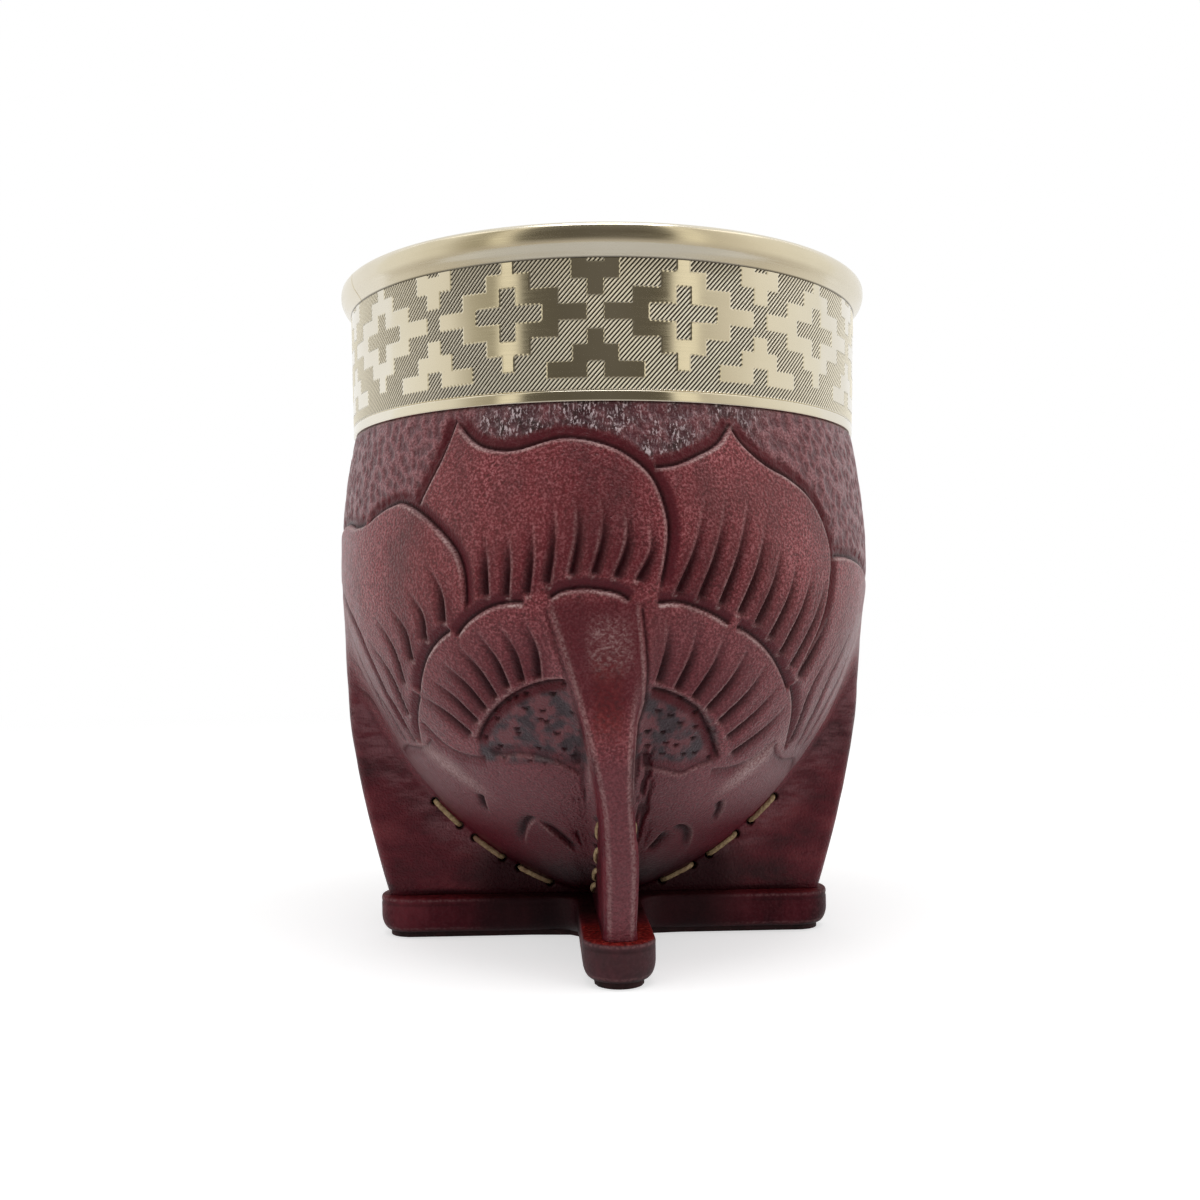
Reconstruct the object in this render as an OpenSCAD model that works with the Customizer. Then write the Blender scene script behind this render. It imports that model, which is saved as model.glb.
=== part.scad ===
// Mate gourd: a dried calabash cup in a sewn leather sleeve that is pinched into four legs,
// on a cross-shaped leather sole, with a nickel-silver ferrule round its mouth.
// Millimetres, +Z up. The origin is on the cup's axis, on the surface that the sole stands on.
// One leg points along -Y, towards the front.

/* [Body] */
// Largest diameter of the leather body
belly_d = 87.8; // [84:0.2:92]
// Height of that largest diameter above the ground
belly_z = 60.5; // [57:0.5:64]
// Diameter of the leather just below the ferrule
neck_d = 83.2; // [81:0.2:84]
// Height of the ferrule's lower edge above the ground
neck_z = 82.3; // [79:0.1:86]
// Thickness of the leather
leather_t = 2.4; // [2:0.1:2.8]
// Thickness of the calabash wall
gourd_wall = 5.5; // [4.5:0.1:6]
// Thickness of the calabash at its bottom
gourd_floor = 7; // [5:0.5:9]

/* [Legs] */
// Reach of a leg's outer edge where it meets the sole
leg_foot_r = 36.1; // [34:0.1:37]
// Reach of a leg's outer edge where it leaves the body
leg_top_r = 42.8; // [41:0.1:43.4]
// Height at which a leg reaches that
leg_top_z = 42; // [38:1:44]
// Thickness of a leg at the sole, two layers of leather
leg_foot_t = 5; // [4.6:0.1:5.6]
// Radius of the fold along a leg's outer edge
fold_r = 1.6; // [1:0.1:2]

/* [Sole] */
// Thickness of the leather sole
sole_t = 5.8; // [4:0.1:7]
// Thickness of the pad under the sole
pad_t = 0.9; // [0.6:0.1:1.5]
// Reach of an arm of the sole
arm_r = 37.7; // [37:0.1:40]
// Width of an arm of the sole
arm_w = 10.6; // [9.6:0.1:12]
// How far the sole's edge draws in towards the bottom
edge_draw = 1.4; // [0.5:0.1:2]

/* [Ferrule] */
// Outside diameter of the band at its top
band_d = 84.2; // [83.6:0.1:85]
// Height of the band
band_h = 19.7; // [17:0.1:22]
// Thickness of the band's sheet metal
band_wall = 0.7; // [0.5:0.1:0.8]
// Largest diameter of the flared lip
lip_d = 87.4; // [86.4:0.1:89]
// Height of the lip above the band
lip_h = 4.8; // [4.4:0.1:6]
// Inside diameter of the mouth
mouth_d = 65; // [60:0.5:66]
// Depth of the sleeve inside the mouth
sleeve_h = 14; // [11:0.5:16]

/* [Stitching] */
// Diameter of the waxed thread
thread_d = 1.1; // [0.9:0.1:1.2]
// Stitches along the front leg and the back leg
front_stitches = 4; // [3:1:4]
// Stitches along each side leg
side_stitches = 3; // [2:1:4]
// Stitches that close the sleeve up the back
back_stitches = 5; // [3:1:6]

/* [Hidden] */

gap = 0.05;                       // room between pieces that touch
sheet = 0.6;                      // sheet metal of the lip and the sleeve
belly_r = belly_d / 2;
neck_r = neck_d / 2;
sole_z = pad_t + sole_t;          // top of the sole, where the legs stand
body_z0 = sole_z - 0.2;           // where the rounded body's curve ends, just below the sole's top
lip_z = neck_z + band_h;          // where the lip meets the band
top_z = lip_z + lip_h;
band_r = band_d / 2;
band_foot_r = neck_r + 0.1;       // the band is nearly flush with the leather below it
lip_r = lip_d / 2;
mouth_r = mouth_d / 2;
sleeve_z = lip_z + 1;             // where the lip's inner turn meets the sleeve
sleeve_z0 = sleeve_z - sleeve_h;
rim_z = lip_z + 2.4;              // top edge of the calabash, under the lip
under_band_r = band_foot_r - band_wall - gap;
leather_top_z = lip_z - 0.6;      // top edge of the leather, behind the band
draw_z0 = neck_z - 3;             // the walls draw in between these two heights, to go under the band
draw_z1 = neck_z + 1;
skin = leather_t + gap;
leg_count = 4;
half_sector = 180 / leg_count;
round_steps = 96;
thread_steps = 24;

leather_colour = [0.36, 0.09, 0.11];
sole_colour = [0.22, 0.07, 0.08];
metal_colour = [0.78, 0.75, 0.66];
thread_colour = [0.72, 0.62, 0.42];
gourd_colour = [0.62, 0.46, 0.27];

// Curve of the body: a parabola above the belly and a drawn-out oval below it.
// inset moves the curve inwards and rise lifts its lowest point.
belly_power = 1.8;
bottom_power = 0.62;
function body_r(z, inset = 0, rise = 0) =
    z >= belly_z
        ? belly_r - inset - (belly_r - neck_r) * pow((z - belly_z) / (neck_z - belly_z), 2)
        : let (u = (belly_z - z) / (belly_z - body_z0 - rise))
          u >= 1 ? 0 : (belly_r - inset) * pow(1 - pow(u, belly_power), bottom_power);

// Profile points of that curve, from the lowest point to the belly and on up to top.
bowl_steps = 28;
shoulder_steps = 5;
function curve(inset, rise, top) =
    let (low = body_z0 + rise)
    [for (i = [0 : bowl_steps])
        let (z = low + (belly_z - low) * (1 - cos(90 * i / bowl_steps))) [body_r(z, inset, rise), z],
     for (i = [1 : shoulder_steps])
        let (z = belly_z + (top - belly_z) * i / shoulder_steps) [body_r(z, inset), z]];
function reverse(list) = [for (i = [len(list) - 1 : -1 : 0]) list[i]];
function arc(centre, r, from, to, steps = 12) =
    [for (i = [0 : steps]) let (a = from + (to - from) * i / steps) centre + r * [cos(a), sin(a)]];

// Outline of a round body with legs at one height: a disc and a bar for each leg, smoothly joined.
// shape is [disc radius, reach of the bar, half its width, radius of its corners, size of the join].
// The outline is found along rays from the axis. Angles are measured from the middle of a leg.
function join(a, b, k) = min(a, b) - pow(max(k - abs(a - b), 0) / k, 2) * k / 4;
function bar(r, angle, shape) =
    let (a = r * cos(angle) - shape[1] + shape[3], b = abs(r * sin(angle)) - shape[2] + shape[3])
    norm([max(a, 0), max(b, 0)]) + min(max(a, b), 0) - shape[3];
function outside(r, angle, shape) =
    let (near = join(r - shape[0], bar(r, angle, shape), shape[4]))
    join(near, bar(r, 2 * half_sector - angle, shape), shape[4]);
function ray(angle, shape, low = 0, high = 60, steps = 22) =
    let (mid = (low + high) / 2)
    steps == 0 ? mid
    : outside(mid, angle, shape) > 0 ? ray(angle, shape, low, mid, steps - 1)
    : ray(angle, shape, mid, high, steps - 1);

// Rays over half a sector: across the leg's edge, down its side and round the valley between legs.
edge_rays = 4;
side_rays = 7;
valley_rays = 5;
function half_angles(shape) =
    let (corner = atan2(shape[2] - shape[3] / 3, shape[1]),
         root = min(half_sector * 0.75, atan2(shape[2] + shape[4] * 0.6, max(shape[0], 6))))
    [for (i = [0 : edge_rays - 1]) corner * i / edge_rays,
     for (i = [0 : side_rays - 1]) let (t = i / side_rays) atan2(1, (1 - t) / tan(corner) + t / tan(root)),
     for (i = [0 : valley_rays - 1]) root + (half_sector - root) * i / valley_rays];
function ring(z, shape) =
    let (half = half_angles(shape), n = len(half),
         angles = concat(half, [half_sector]), reaches = [for (a = angles) ray(a, shape)])
    [for (leg = [0 : leg_count - 1]) for (i = [0 : 2 * n - 1])
        let (j = i <= n ? i : 2 * n - i, a = (i <= n ? 0 : 2 * half_sector) + (i <= n ? 1 : -1) * angles[j],
             way = leg * 2 * half_sector + a - 90)
        [reaches[j] * cos(way), reaches[j] * sin(way), z]];

// A closed solid through rings of equal count, from the lowest to the highest.
module loft(rings) {
    n = len(rings[0]);
    m = len(rings);
    sides = [for (j = [0 : m - 2]) for (i = [0 : n - 1])
        let (a = j * n + i, b = j * n + (i + 1) % n)
        each [[a, a + n, b + n], [a, b + n, b]]];
    ends = [for (i = [0 : n - 1])
        let (next = (i + 1) % n, top = (m - 1) * n)
        each [[m * n, i, next], [m * n + 1, top + next, top + i]]];
    middles = [[0, 0, rings[0][0][2]], [0, 0, rings[m - 1][0][2]]];
    polyhedron(concat([for (r = rings) each r], middles), concat(sides, ends), convexity = 10);
}

// The legs at a height: they thicken upwards, lean outwards and sink into the body near the belly.
leg_fade = 0.03;
leg_spread = 3.8;                 // how much each side of a leg widens on the way up
spread_z0 = 24;                   // heights between which it widens
spread_z1 = 58;
foot_join = 2;
top_join = 9;
function ease(t) = let (c = min(max(t, 0), 1)) c * c * (3 - 2 * c);
function leg_reach(z) =
    z > leg_top_z ? leg_top_r - leg_fade * pow(z - leg_top_z, 2)
    : leg_foot_r + (leg_top_r - leg_foot_r) * sin(90 * (z - sole_z) / (leg_top_z - sole_z));
function leg_half(z) = leg_foot_t / 2 + leg_spread * ease((z - spread_z0) / (spread_z1 - spread_z0));
function leg_join(z) = foot_join + (top_join - foot_join) * pow((z - sole_z) / (belly_z - sole_z), 3);
function leg_shape(z) =
    let (h = min(z, belly_z))
    [body_r(z), leg_reach(h), leg_half(h), fold_r, leg_join(h)];

// Seam of a leg: it follows the body's curve, a little way out along the leg.
// Places along it are lengths from its lowest stitch hole.
seam_out = 1.3;
seam_z0 = sole_z + 1.2;
seam_length = 27;
seam_step = 0.5;
function seam_r(z) = body_r(z) + seam_out;
function seam_rise(z) = 1 / norm([1, (seam_r(z + 0.1) - seam_r(z - 0.1)) / 0.2]);
function seam_z(s, z = seam_z0) =
    s <= seam_step ? z + s * seam_rise(z) : seam_z(s - seam_step, z + seam_step * seam_rise(z));
function seam_point(s) = let (z = seam_z(s)) [seam_r(z), z];
// Half the leg's thickness at a point of the seam.
function leg_side(p, low = 0, high = 12, steps = 20) =
    let (mid = (low + high) / 2)
    steps == 0 ? mid
    : outside(norm([p[0], mid]), atan2(mid, p[0]), leg_shape(p[1])) > 0 ? leg_side(p, low, mid, steps - 1)
    : leg_side(p, mid, high, steps - 1);

// Stitches of a leg seam: each shows on both sides of the leg, with a short hidden step to the next.
stitch_share = 0.64;              // how much of each stitch's place its thread covers
bow_h = 0.75;                     // how high a stitch bows above its ends
bow_past = 0.6;                   // how far a bow runs on past the middles of its holes
inner_d = thread_d * 0.9;         // the thread is drawn thinner inside the leather
step_d = thread_d * 0.7;          // and thinner still in the hidden steps
hole_d = thread_d + 0.6;
function stitch_start(i, count) = seam_length / count * (i + (1 - stitch_share) / 2);
function stitch_end(i, count) = stitch_start(i, count) + seam_length / count * stitch_share;

// Turns from the plane of a leg (x outwards, y up) to the leg's place on the cup.
module on_leg(leg) {
    rotate([0, 0, leg * 2 * half_sector - 90]) rotate([90, 0, 0]) children();
}
// Moves to a point of that plane and turns x towards a second one.
module towards(a, b) {
    translate([a[0], a[1], 0]) rotate([0, 0, atan2(b[1] - a[1], b[0] - a[0])]) children();
}

// One bowed stitch along x from 0 to span, its ends dipping into the holes.
module stitch_bow(span, d = thread_d) {
    lean = 2 * atan(2 * bow_h / span);
    radius = span / 2 / sin(lean);
    reach = lean + bow_past / radius * 180 / PI;
    translate([span / 2, 0, bow_h - radius]) rotate([90, 0, 0]) rotate([0, 0, 90 - reach])
        rotate_extrude(angle = 2 * reach, $fn = round_steps)
            translate([radius, 0]) circle(d = d, $fn = thread_steps);
}

// The hidden steps between the stitches of a leg, run on by extra at both ends.
module hidden_steps(count, d, extra) {
    for (i = [0 : count - 2]) {
        b = seam_point(stitch_end(i, count));
        c = seam_point(stitch_start(i + 1, count));
        towards(b, c) translate([-extra, 0, 0]) rotate([0, 90, 0])
            cylinder(h = norm(c - b) + 2 * extra, d = d, $fn = thread_steps);
    }
}

module leg_thread(leg, count) {
    color(thread_colour) on_leg(leg) {
        for (i = [0 : count - 1]) {
            a = seam_point(stitch_start(i, count));
            b = seam_point(stitch_end(i, count));
            depth = max(leg_side(a), leg_side(b), leg_side((a + b) / 2)) + gap;
            for (side = [0, 1]) mirror([0, 0, side])
                towards(a, b) translate([0, 0, depth]) stitch_bow(norm(b - a));
            for (p = [a, b]) translate([p[0], p[1], 0])
                cylinder(h = 2 * depth, d = inner_d, center = true, $fn = thread_steps);
        }
        hidden_steps(count, step_d, 0.2);
    }
}

// Room in a leg for its thread.
module leg_holes(leg, count) {
    through = 4 * leg_foot_t;
    on_leg(leg) {
        for (i = [0 : count - 1]) for (s = [stitch_start(i, count), stitch_end(i, count)]) {
            p = seam_point(s);
            translate([p[0], p[1], 0]) cylinder(h = through, d = hole_d, center = true, $fn = thread_steps);
        }
        hidden_steps(count, step_d + 2 * gap, 0);
    }
}

// Slanted stitches that draw the sleeve's two edges together up the back, each pressed into the
// leather between its two holes.
back_z0 = belly_z + 0.5;
back_span = 7.5;
back_slant = 22;
back_depth = leather_t * 0.8;
back_sink = 0.9;
module back_places() {
    pitch = (neck_z - back_z0) / back_stitches;
    for (i = [0 : back_stitches - 1]) {
        z = back_z0 + pitch * (i + 0.5);
        lean = atan2(body_r(z + 1) - body_r(z - 1), 2);
        rotate([0, 0, 90]) translate([body_r(z), 0, z]) rotate([0, 90 + lean, 0])
            rotate([0, 0, 90 + back_slant]) translate([-back_span / 2, 0, 0]) children();
    }
}
module back_seam_thread() {
    color(thread_colour) back_places() {
        translate([0, 0, -back_sink]) stitch_bow(back_span);
        for (x = [0, back_span]) translate([x, 0, -back_depth])
            cylinder(h = back_depth - back_sink, d = inner_d, $fn = thread_steps);
    }
}
module back_holes() {
    back_places() {
        translate([0, 0, -back_sink]) stitch_bow(back_span, thread_d + 2 * gap);
        for (x = [0, back_span]) translate([x, 0, -back_depth])
            cylinder(h = 2 * back_depth, d = hole_d, $fn = thread_steps);
    }
}

// Dried calabash: a deep cup with a rebate inside its mouth that the metal sleeve sits in.
module gourd_shell() {
    neck_out = under_band_r - skin;
    neck_in = mouth_r + sheet + gap;
    edge = 1;                     // bevel of the calabash's rim
    color(gourd_colour) rotate_extrude($fn = round_steps) polygon(concat(
        curve(skin, skin, draw_z0),
        [[neck_out, draw_z1], [neck_out, rim_z - edge], [neck_out - edge, rim_z], [neck_in + edge, rim_z],
         [neck_in, rim_z - edge], [neck_in, sleeve_z0 - gap]],
        reverse(curve(skin + gourd_wall, skin + gourd_floor, sleeve_z0 - gap))));
}

// Leather sleeve: drawn over the calabash, pinched below into the legs, tucked under the band above.
lower_rows = 22;
upper_rows = 5;
tuck = 0.9;
module leather_cover() {
    lower = [for (i = [0 : lower_rows]) sole_z + (belly_z - sole_z) * i / lower_rows];
    upper = [for (i = [1 : upper_rows]) belly_z + (neck_z - tuck - belly_z) * i / upper_rows];
    plain = leg_shape(belly_z);
    tucked = [[neck_r - 0.1, neck_z - tuck / 2], [(neck_r + under_band_r) / 2, neck_z - 0.1],
              [under_band_r, neck_z], [under_band_r, leather_top_z]];
    color(leather_colour) difference() {
        loft(concat([for (z = concat(lower, upper)) ring(z, leg_shape(z))],
                    [for (p = tucked) ring(p[1], [p[0], plain[1], plain[2], plain[3], plain[4]])]));
        rotate_extrude($fn = round_steps) polygon(concat(
            curve(leather_t, leather_t, draw_z0),
            [[under_band_r - leather_t, draw_z1], [under_band_r - leather_t, top_z], [0, top_z]]));
        for (leg = [0, 2]) leg_holes(leg, front_stitches);
        for (leg = [1, 3]) leg_holes(leg, side_stitches);
        back_holes();
    }
}

// Sole: a thick leather cross with round-ended arms and a rounded lower edge, on a thin pad.
sole_join = 5;
sole_bevel = 0.5;
round_share = 0.45;               // how much of the sole's height the round takes
pad_inset = 0.3;
function sole_shape(inset) = let (half = arm_w / 2 - inset) [half, arm_r - inset, half, half, sole_join];
// Heights and insets up the edge of the sole: a quarter oval below and a small bevel above.
sole_edge = [for (a = [0, 35, 60, 90])
                 [pad_t + round_share * sole_t * (1 - cos(a)), edge_draw * (1 - sin(a))],
             [sole_z - sole_bevel, 0], [sole_z, sole_bevel]];
module base_sole() {
    color(sole_colour) loft([for (e = sole_edge) ring(e[0], sole_shape(e[1]))]);
}
module sole_pad() {
    outline = ring(0, sole_shape(edge_draw + pad_inset));
    color(sole_colour) linear_extrude(pad_t) polygon([for (p = outline) [p[0], p[1]]]);
}

// Ferrule band: a slightly conical ring with a scored line above its lower border.
border_h = 1.7;
score_w = 0.3;
score_depth = 0.15;
function band_out(z) = band_foot_r + (band_r - band_foot_r) * (z - neck_z) / band_h;
module ferrule_band() {
    z1 = neck_z + border_h;
    z2 = z1 + score_w;
    color(metal_colour) rotate_extrude($fn = round_steps) polygon([
        [band_foot_r - band_wall, neck_z], [band_foot_r, neck_z], [band_out(z1), z1],
        [band_out(z1 + score_w / 2) - score_depth, z1 + score_w / 2], [band_out(z2), z2], [band_r, lip_z],
        [band_r - band_wall, lip_z]]);
}

// Ferrule lip: flares out from the band, rolls over a bead and slopes in to the mouth.
bead = 1.7;
bead_start = -35;                 // angles at which the flare meets the bead and the bead the top
bead_end = 100;
flare_out = 0.4;                  // how the flare starts out from the band
flare_up = 1.2;
dip = 1.2;                        // how far the top slopes down to the mouth
turn = 1.6;                       // radius of the turn into the mouth
seat_h = 1.6;                     // how far the lip stands straight up inside, on top of the band
function bow(a, b, c, steps = 6) =
    [for (i = [0 : steps - 1]) let (t = i / steps) (1 - t) * (1 - t) * a + 2 * t * (1 - t) * b + t * t * c];
module ferrule_lip() {
    bead_c = [lip_r - bead, top_z - bead];
    turn_c = [mouth_r + turn, top_z - dip - turn];
    flare = bow([band_r, lip_z], [band_r + flare_out, lip_z + flare_up],
                bead_c + bead * [cos(bead_start), sin(bead_start)]);
    hollow = [lip_r - 2.4 * bead, top_z - 1.5 * sheet];
    color(metal_colour) rotate_extrude($fn = round_steps) polygon(concat(
        flare, arc(bead_c, bead, bead_start, bead_end),
        arc(turn_c, turn, bead_end, 180),
        [[mouth_r, sleeve_z], [mouth_r + sheet, sleeve_z]],
        arc(turn_c, turn - sheet, 180, bead_end),
        [hollow, [band_r - band_wall, lip_z + seat_h], [band_r - band_wall, lip_z]]));
}

module ferrule_sleeve() {
    color(metal_colour) rotate_extrude($fn = round_steps)
        translate([mouth_r, sleeve_z0]) square([sheet, sleeve_h]);
}

module leg_thread_front() { leg_thread(0, front_stitches); }
module leg_thread_right() { leg_thread(1, side_stitches); }
module leg_thread_back() { leg_thread(2, front_stitches); }
module leg_thread_left() { leg_thread(3, side_stitches); }

gourd_shell();
leather_cover();
base_sole();
sole_pad();
ferrule_band();
ferrule_lip();
ferrule_sleeve();
leg_thread_front();
leg_thread_right();
leg_thread_back();
leg_thread_left();
back_seam_thread();
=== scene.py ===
"""Looks of a mate gourd: a tooled leather sleeve on four legs, a cross-shaped sole and an engraved ferrule.

Sizes are in millimetres until a mesh is made. An angle is measured round the cup's axis, in degrees,
from the front leg (-Y) towards +X, so that it grows to the right in the main view.
"""

import bpy
import numpy as np
from mathutils import Matrix, Vector


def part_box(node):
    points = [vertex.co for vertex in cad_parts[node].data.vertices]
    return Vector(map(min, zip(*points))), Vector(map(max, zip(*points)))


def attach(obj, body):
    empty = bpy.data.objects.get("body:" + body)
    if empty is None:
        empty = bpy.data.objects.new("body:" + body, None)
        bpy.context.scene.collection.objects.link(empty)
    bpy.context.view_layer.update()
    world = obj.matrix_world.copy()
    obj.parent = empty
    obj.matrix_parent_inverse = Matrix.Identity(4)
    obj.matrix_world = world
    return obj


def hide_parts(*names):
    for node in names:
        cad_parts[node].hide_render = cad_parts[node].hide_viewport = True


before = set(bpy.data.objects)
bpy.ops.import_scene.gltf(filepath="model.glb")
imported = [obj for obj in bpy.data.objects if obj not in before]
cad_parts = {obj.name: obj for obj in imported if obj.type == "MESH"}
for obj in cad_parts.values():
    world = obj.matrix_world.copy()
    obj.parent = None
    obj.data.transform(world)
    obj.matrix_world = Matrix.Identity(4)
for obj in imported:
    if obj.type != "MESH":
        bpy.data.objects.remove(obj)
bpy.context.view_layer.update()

MM = 0.001


def low_corner(node):
    return np.array(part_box(node)[0]) / MM


def high_corner(node):
    return np.array(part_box(node)[1]) / MM


# Sizes read from the CAD frame
PAD_T = high_corner("sole_pad")[2]
SOLE_Z = high_corner("base_sole")[2]
ARM_R = high_corner("base_sole")[0]
NECK_Z = low_corner("ferrule_band")[2]
LIP_Z = high_corner("ferrule_band")[2]
BAND_R = high_corner("ferrule_band")[0]
TOP_Z = high_corner("ferrule_lip")[2]
LIP_R = high_corner("ferrule_lip")[0]
SLEEVE_Z0 = low_corner("ferrule_sleeve")[2]
SLEEVE_Z = high_corner("ferrule_sleeve")[2]
BELLY_R = high_corner("leather_cover")[0]
LEATHER_TOP_Z = high_corner("leather_cover")[2]

# Sizes of the body and the legs, as in the part's source
BODY_Z0 = SOLE_Z - 0.2
BELLY_Z = 60.5
BELLY_POWER = 1.8
BOTTOM_POWER = 0.62
NECK_R = 41.6
LEATHER_T = 2.4
GOURD_WALL = 5.5
GOURD_FLOOR = 7.0
GAP = 0.05
LEG_FOOT_R = 36.1
LEG_TOP_R = 42.8
LEG_TOP_Z = 42.0
LEG_FOOT_T = 5.0
LEG_FADE = 0.03
LEG_SPREAD = 3.8
SPREAD_Z0 = 24.0
SPREAD_Z1 = 58.0
FOLD_R = 1.6
FOOT_JOIN = 2.0
TOP_JOIN = 9.0
HALF_SECTOR = 45.0
OUTLINE_MAX = 60.0                # more than any radius of these outlines
OUTLINE_STEPS = 90                # places worked out along each part of an eighth of an outline

# Sizes of the ferrule
BAND_WALL = 0.7
BAND_FOOT_R = NECK_R + 0.1
UNDER_BAND_R = BAND_FOOT_R - BAND_WALL - GAP
SHEET = 0.6
MOUTH_R = 32.5
BEAD = 1.7
JOINT = 0.12                      # depth of the joint line between band and lip
LIP_DIP = 1.2
LIP_TURN = 1.6
RIM_Z = LIP_Z + 2.4

# Sizes of the sole
ARM_W = 10.6
SOLE_T = SOLE_Z - PAD_T
EDGE_DRAW = 1.4
ROUND_SHARE = 0.45
SOLE_BEVEL = 0.5
SOLE_JOIN = 5.0

# Sizes of the stitching
SEAM_OUT = 1.3
SEAM_Z0 = SOLE_Z + 1.2
SEAM_LENGTH = 27.0
STITCH_SHARE = 0.64
BOW_H = 0.75
LEG_ANGLES = {"front": 0.0, "right": 90.0, "back": 180.0, "left": -90.0}
LEG_STITCHES = {"front": 4, "right": 3, "back": 4, "left": 3}
BACK_STITCHES = 5
BACK_Z0 = BELLY_Z + 0.5
BACK_SPAN = 7.5
BACK_SLANT = 22.0
BACK_SINK = 0.09                  # how far the stitches up the back are pulled into the leather


# Small helpers

def ease(value, start, end):
    """0 before start and 1 after end, with a smooth rise between them."""
    t = np.clip((value - start) / (end - start), 0.0, 1.0)
    return t * t * (3.0 - 2.0 * t)


def hill(value, start, full, fading, end):
    """Rises from 0 at start to 1 at full, stays there until fading, and falls to 0 at end."""
    return ease(value, start, full) * ease(value, end, fading)


def hashed(i, j, seed):
    """Repeatable numbers from 0 to 1 for whole-number places."""
    n = i.astype(np.int64) * 374761393 + j.astype(np.int64) * 668265263 + seed * 974634777
    n = (n ^ (n >> 13)) * 1274126177 & 0xFFFFFFFF
    return ((n ^ (n >> 16)) & 0xFFFFFF) / 0xFFFFFF


def noise(x, y, seed):
    """Smooth noise from -1 to 1 with cells of size 1."""
    i = np.floor(x)
    j = np.floor(y)
    u = ease(x - i, 0.0, 1.0)
    v = ease(y - j, 0.0, 1.0)
    low = hashed(i, j, seed) * (1 - u) + hashed(i + 1, j, seed) * u
    high = hashed(i, j + 1, seed) * (1 - u) + hashed(i + 1, j + 1, seed) * u
    return (low * (1 - v) + high * v) * 2.0 - 1.0


def scattered(x, y, seed):
    """Offsets from the nearest of the points scattered one to a cell of size 1."""
    i = np.floor(x)
    j = np.floor(y)
    best = np.full(x.shape, 9.0)
    offset_x = np.zeros(x.shape)
    offset_y = np.zeros(x.shape)
    for di in (-1, 0, 1):
        for dj in (-1, 0, 1):
            dx = x - i - di - hashed(i + di, j + dj, seed)
            dy = y - j - dj - hashed(i + di, j + dj, seed + 1)
            closer = np.hypot(dx, dy) < best
            best = np.where(closer, np.hypot(dx, dy), best)
            offset_x = np.where(closer, dx, offset_x)
            offset_y = np.where(closer, dy, offset_y)
    return offset_x, offset_y


def cells(x, y, seed):
    """Distance to the nearest of those points."""
    return np.hypot(*scattered(x, y, seed))


def smooth_path(points, step=0.6):
    """A smooth path through points, as places about step apart."""
    p = np.asarray(points, float)
    run = np.vstack([2 * p[0] - p[1], p, 2 * p[-1] - p[-2]])
    parts = []
    for a, b, c, d in zip(run, run[1:], run[2:], run[3:]):
        count = max(2, int(np.ceil(np.linalg.norm(c - b) / step)))
        t = np.linspace(0.0, 1.0, count, endpoint=False)[:, None]
        curve = 2 * b + (c - a) * t + (2 * a - 5 * b + 4 * c - d) * t**2 + (3 * b - a - 3 * c + d) * t**3
        parts.append(curve / 2)
    return np.vstack(parts + [p[-1:]])


def at_share(points, share):
    """The place at a share of a path's length."""
    path = smooth_path(points)
    run = np.concatenate([[0.0], np.cumsum(np.linalg.norm(np.diff(path, axis=0), axis=1))])
    return np.array([np.interp(share * run[-1], run, path[:, k]) for k in range(path.shape[1])])


# The outline of the body and its legs

def body_r(z, inset=0.0, rise=0.0):
    """Radius of the round body at a height; inset and rise give the curves inside it."""
    z = np.asarray(z, float)
    u = np.clip((BELLY_Z - z) / (BELLY_Z - BODY_Z0 - rise), 0.0, 1.0)
    bowl = (BELLY_R - inset) * (1.0 - u**BELLY_POWER) ** BOTTOM_POWER
    shoulder = BELLY_R - inset - (BELLY_R - NECK_R) * ((z - BELLY_Z) / (NECK_Z - BELLY_Z)) ** 2
    return np.where(z >= BELLY_Z, shoulder, bowl)


def body_curve(heights, inset, rise):
    """Radius and height of a curve inside the body, at each of the heights."""
    return [(float(body_r(z, inset, rise)), z) for z in heights]


def join(a, b, k):
    """The smaller of two distances, rounded over a width of k where they are alike."""
    return np.minimum(a, b) - (np.maximum(k - np.abs(a - b), 0.0) / k) ** 2 * k / 4


def bar(r, angle, reach, half, corner):
    """Distance outside a bar with rounded corners that runs from the axis along angle 0."""
    a = r * np.cos(angle) - reach + corner
    b = np.abs(r * np.sin(angle)) - half + corner
    return np.hypot(np.maximum(a, 0), np.maximum(b, 0)) + np.minimum(np.maximum(a, b), 0) - corner


def outside(r, angle, shape):
    """Distance outside a disc joined to four bars; shape is (disc, reach, half width, corner, join)."""
    disc, reach, half, corner, k = shape
    near = join(r - disc, bar(r, angle, reach, half, corner), k)
    return join(near, bar(r, np.radians(2 * HALF_SECTOR) - angle, reach, half, corner), k)


def ray(angle, shape):
    """Radius of that outline along an angle, found by halving."""
    low = np.zeros(np.broadcast(angle, *shape).shape)
    high = low + OUTLINE_MAX
    for _ in range(26):
        mid = (low + high) / 2
        out = outside(mid, angle, shape) > 0
        high = np.where(out, mid, high)
        low = np.where(out, low, mid)
    return (low + high) / 2


def leg_shape(z):
    """Outline of the leather at a height: the body's disc and the legs' bars."""
    h = np.minimum(z, BELLY_Z)
    rise = (h - SOLE_Z) / (LEG_TOP_Z - SOLE_Z)
    leaning = LEG_FOOT_R + (LEG_TOP_R - LEG_FOOT_R) * np.sin(np.pi / 2 * np.minimum(rise, 1.0))
    fading = LEG_TOP_R - LEG_FADE * (h - LEG_TOP_Z) ** 2
    reach = np.where(h > LEG_TOP_Z, fading, leaning)
    half = LEG_FOOT_T / 2 + LEG_SPREAD * ease(h, SPREAD_Z0, SPREAD_Z1)
    k = FOOT_JOIN + (TOP_JOIN - FOOT_JOIN) * ((h - SOLE_Z) / (BELLY_Z - SOLE_Z)) ** 3
    return body_r(z), reach, half, FOLD_R + 0.0 * h, k


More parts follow.
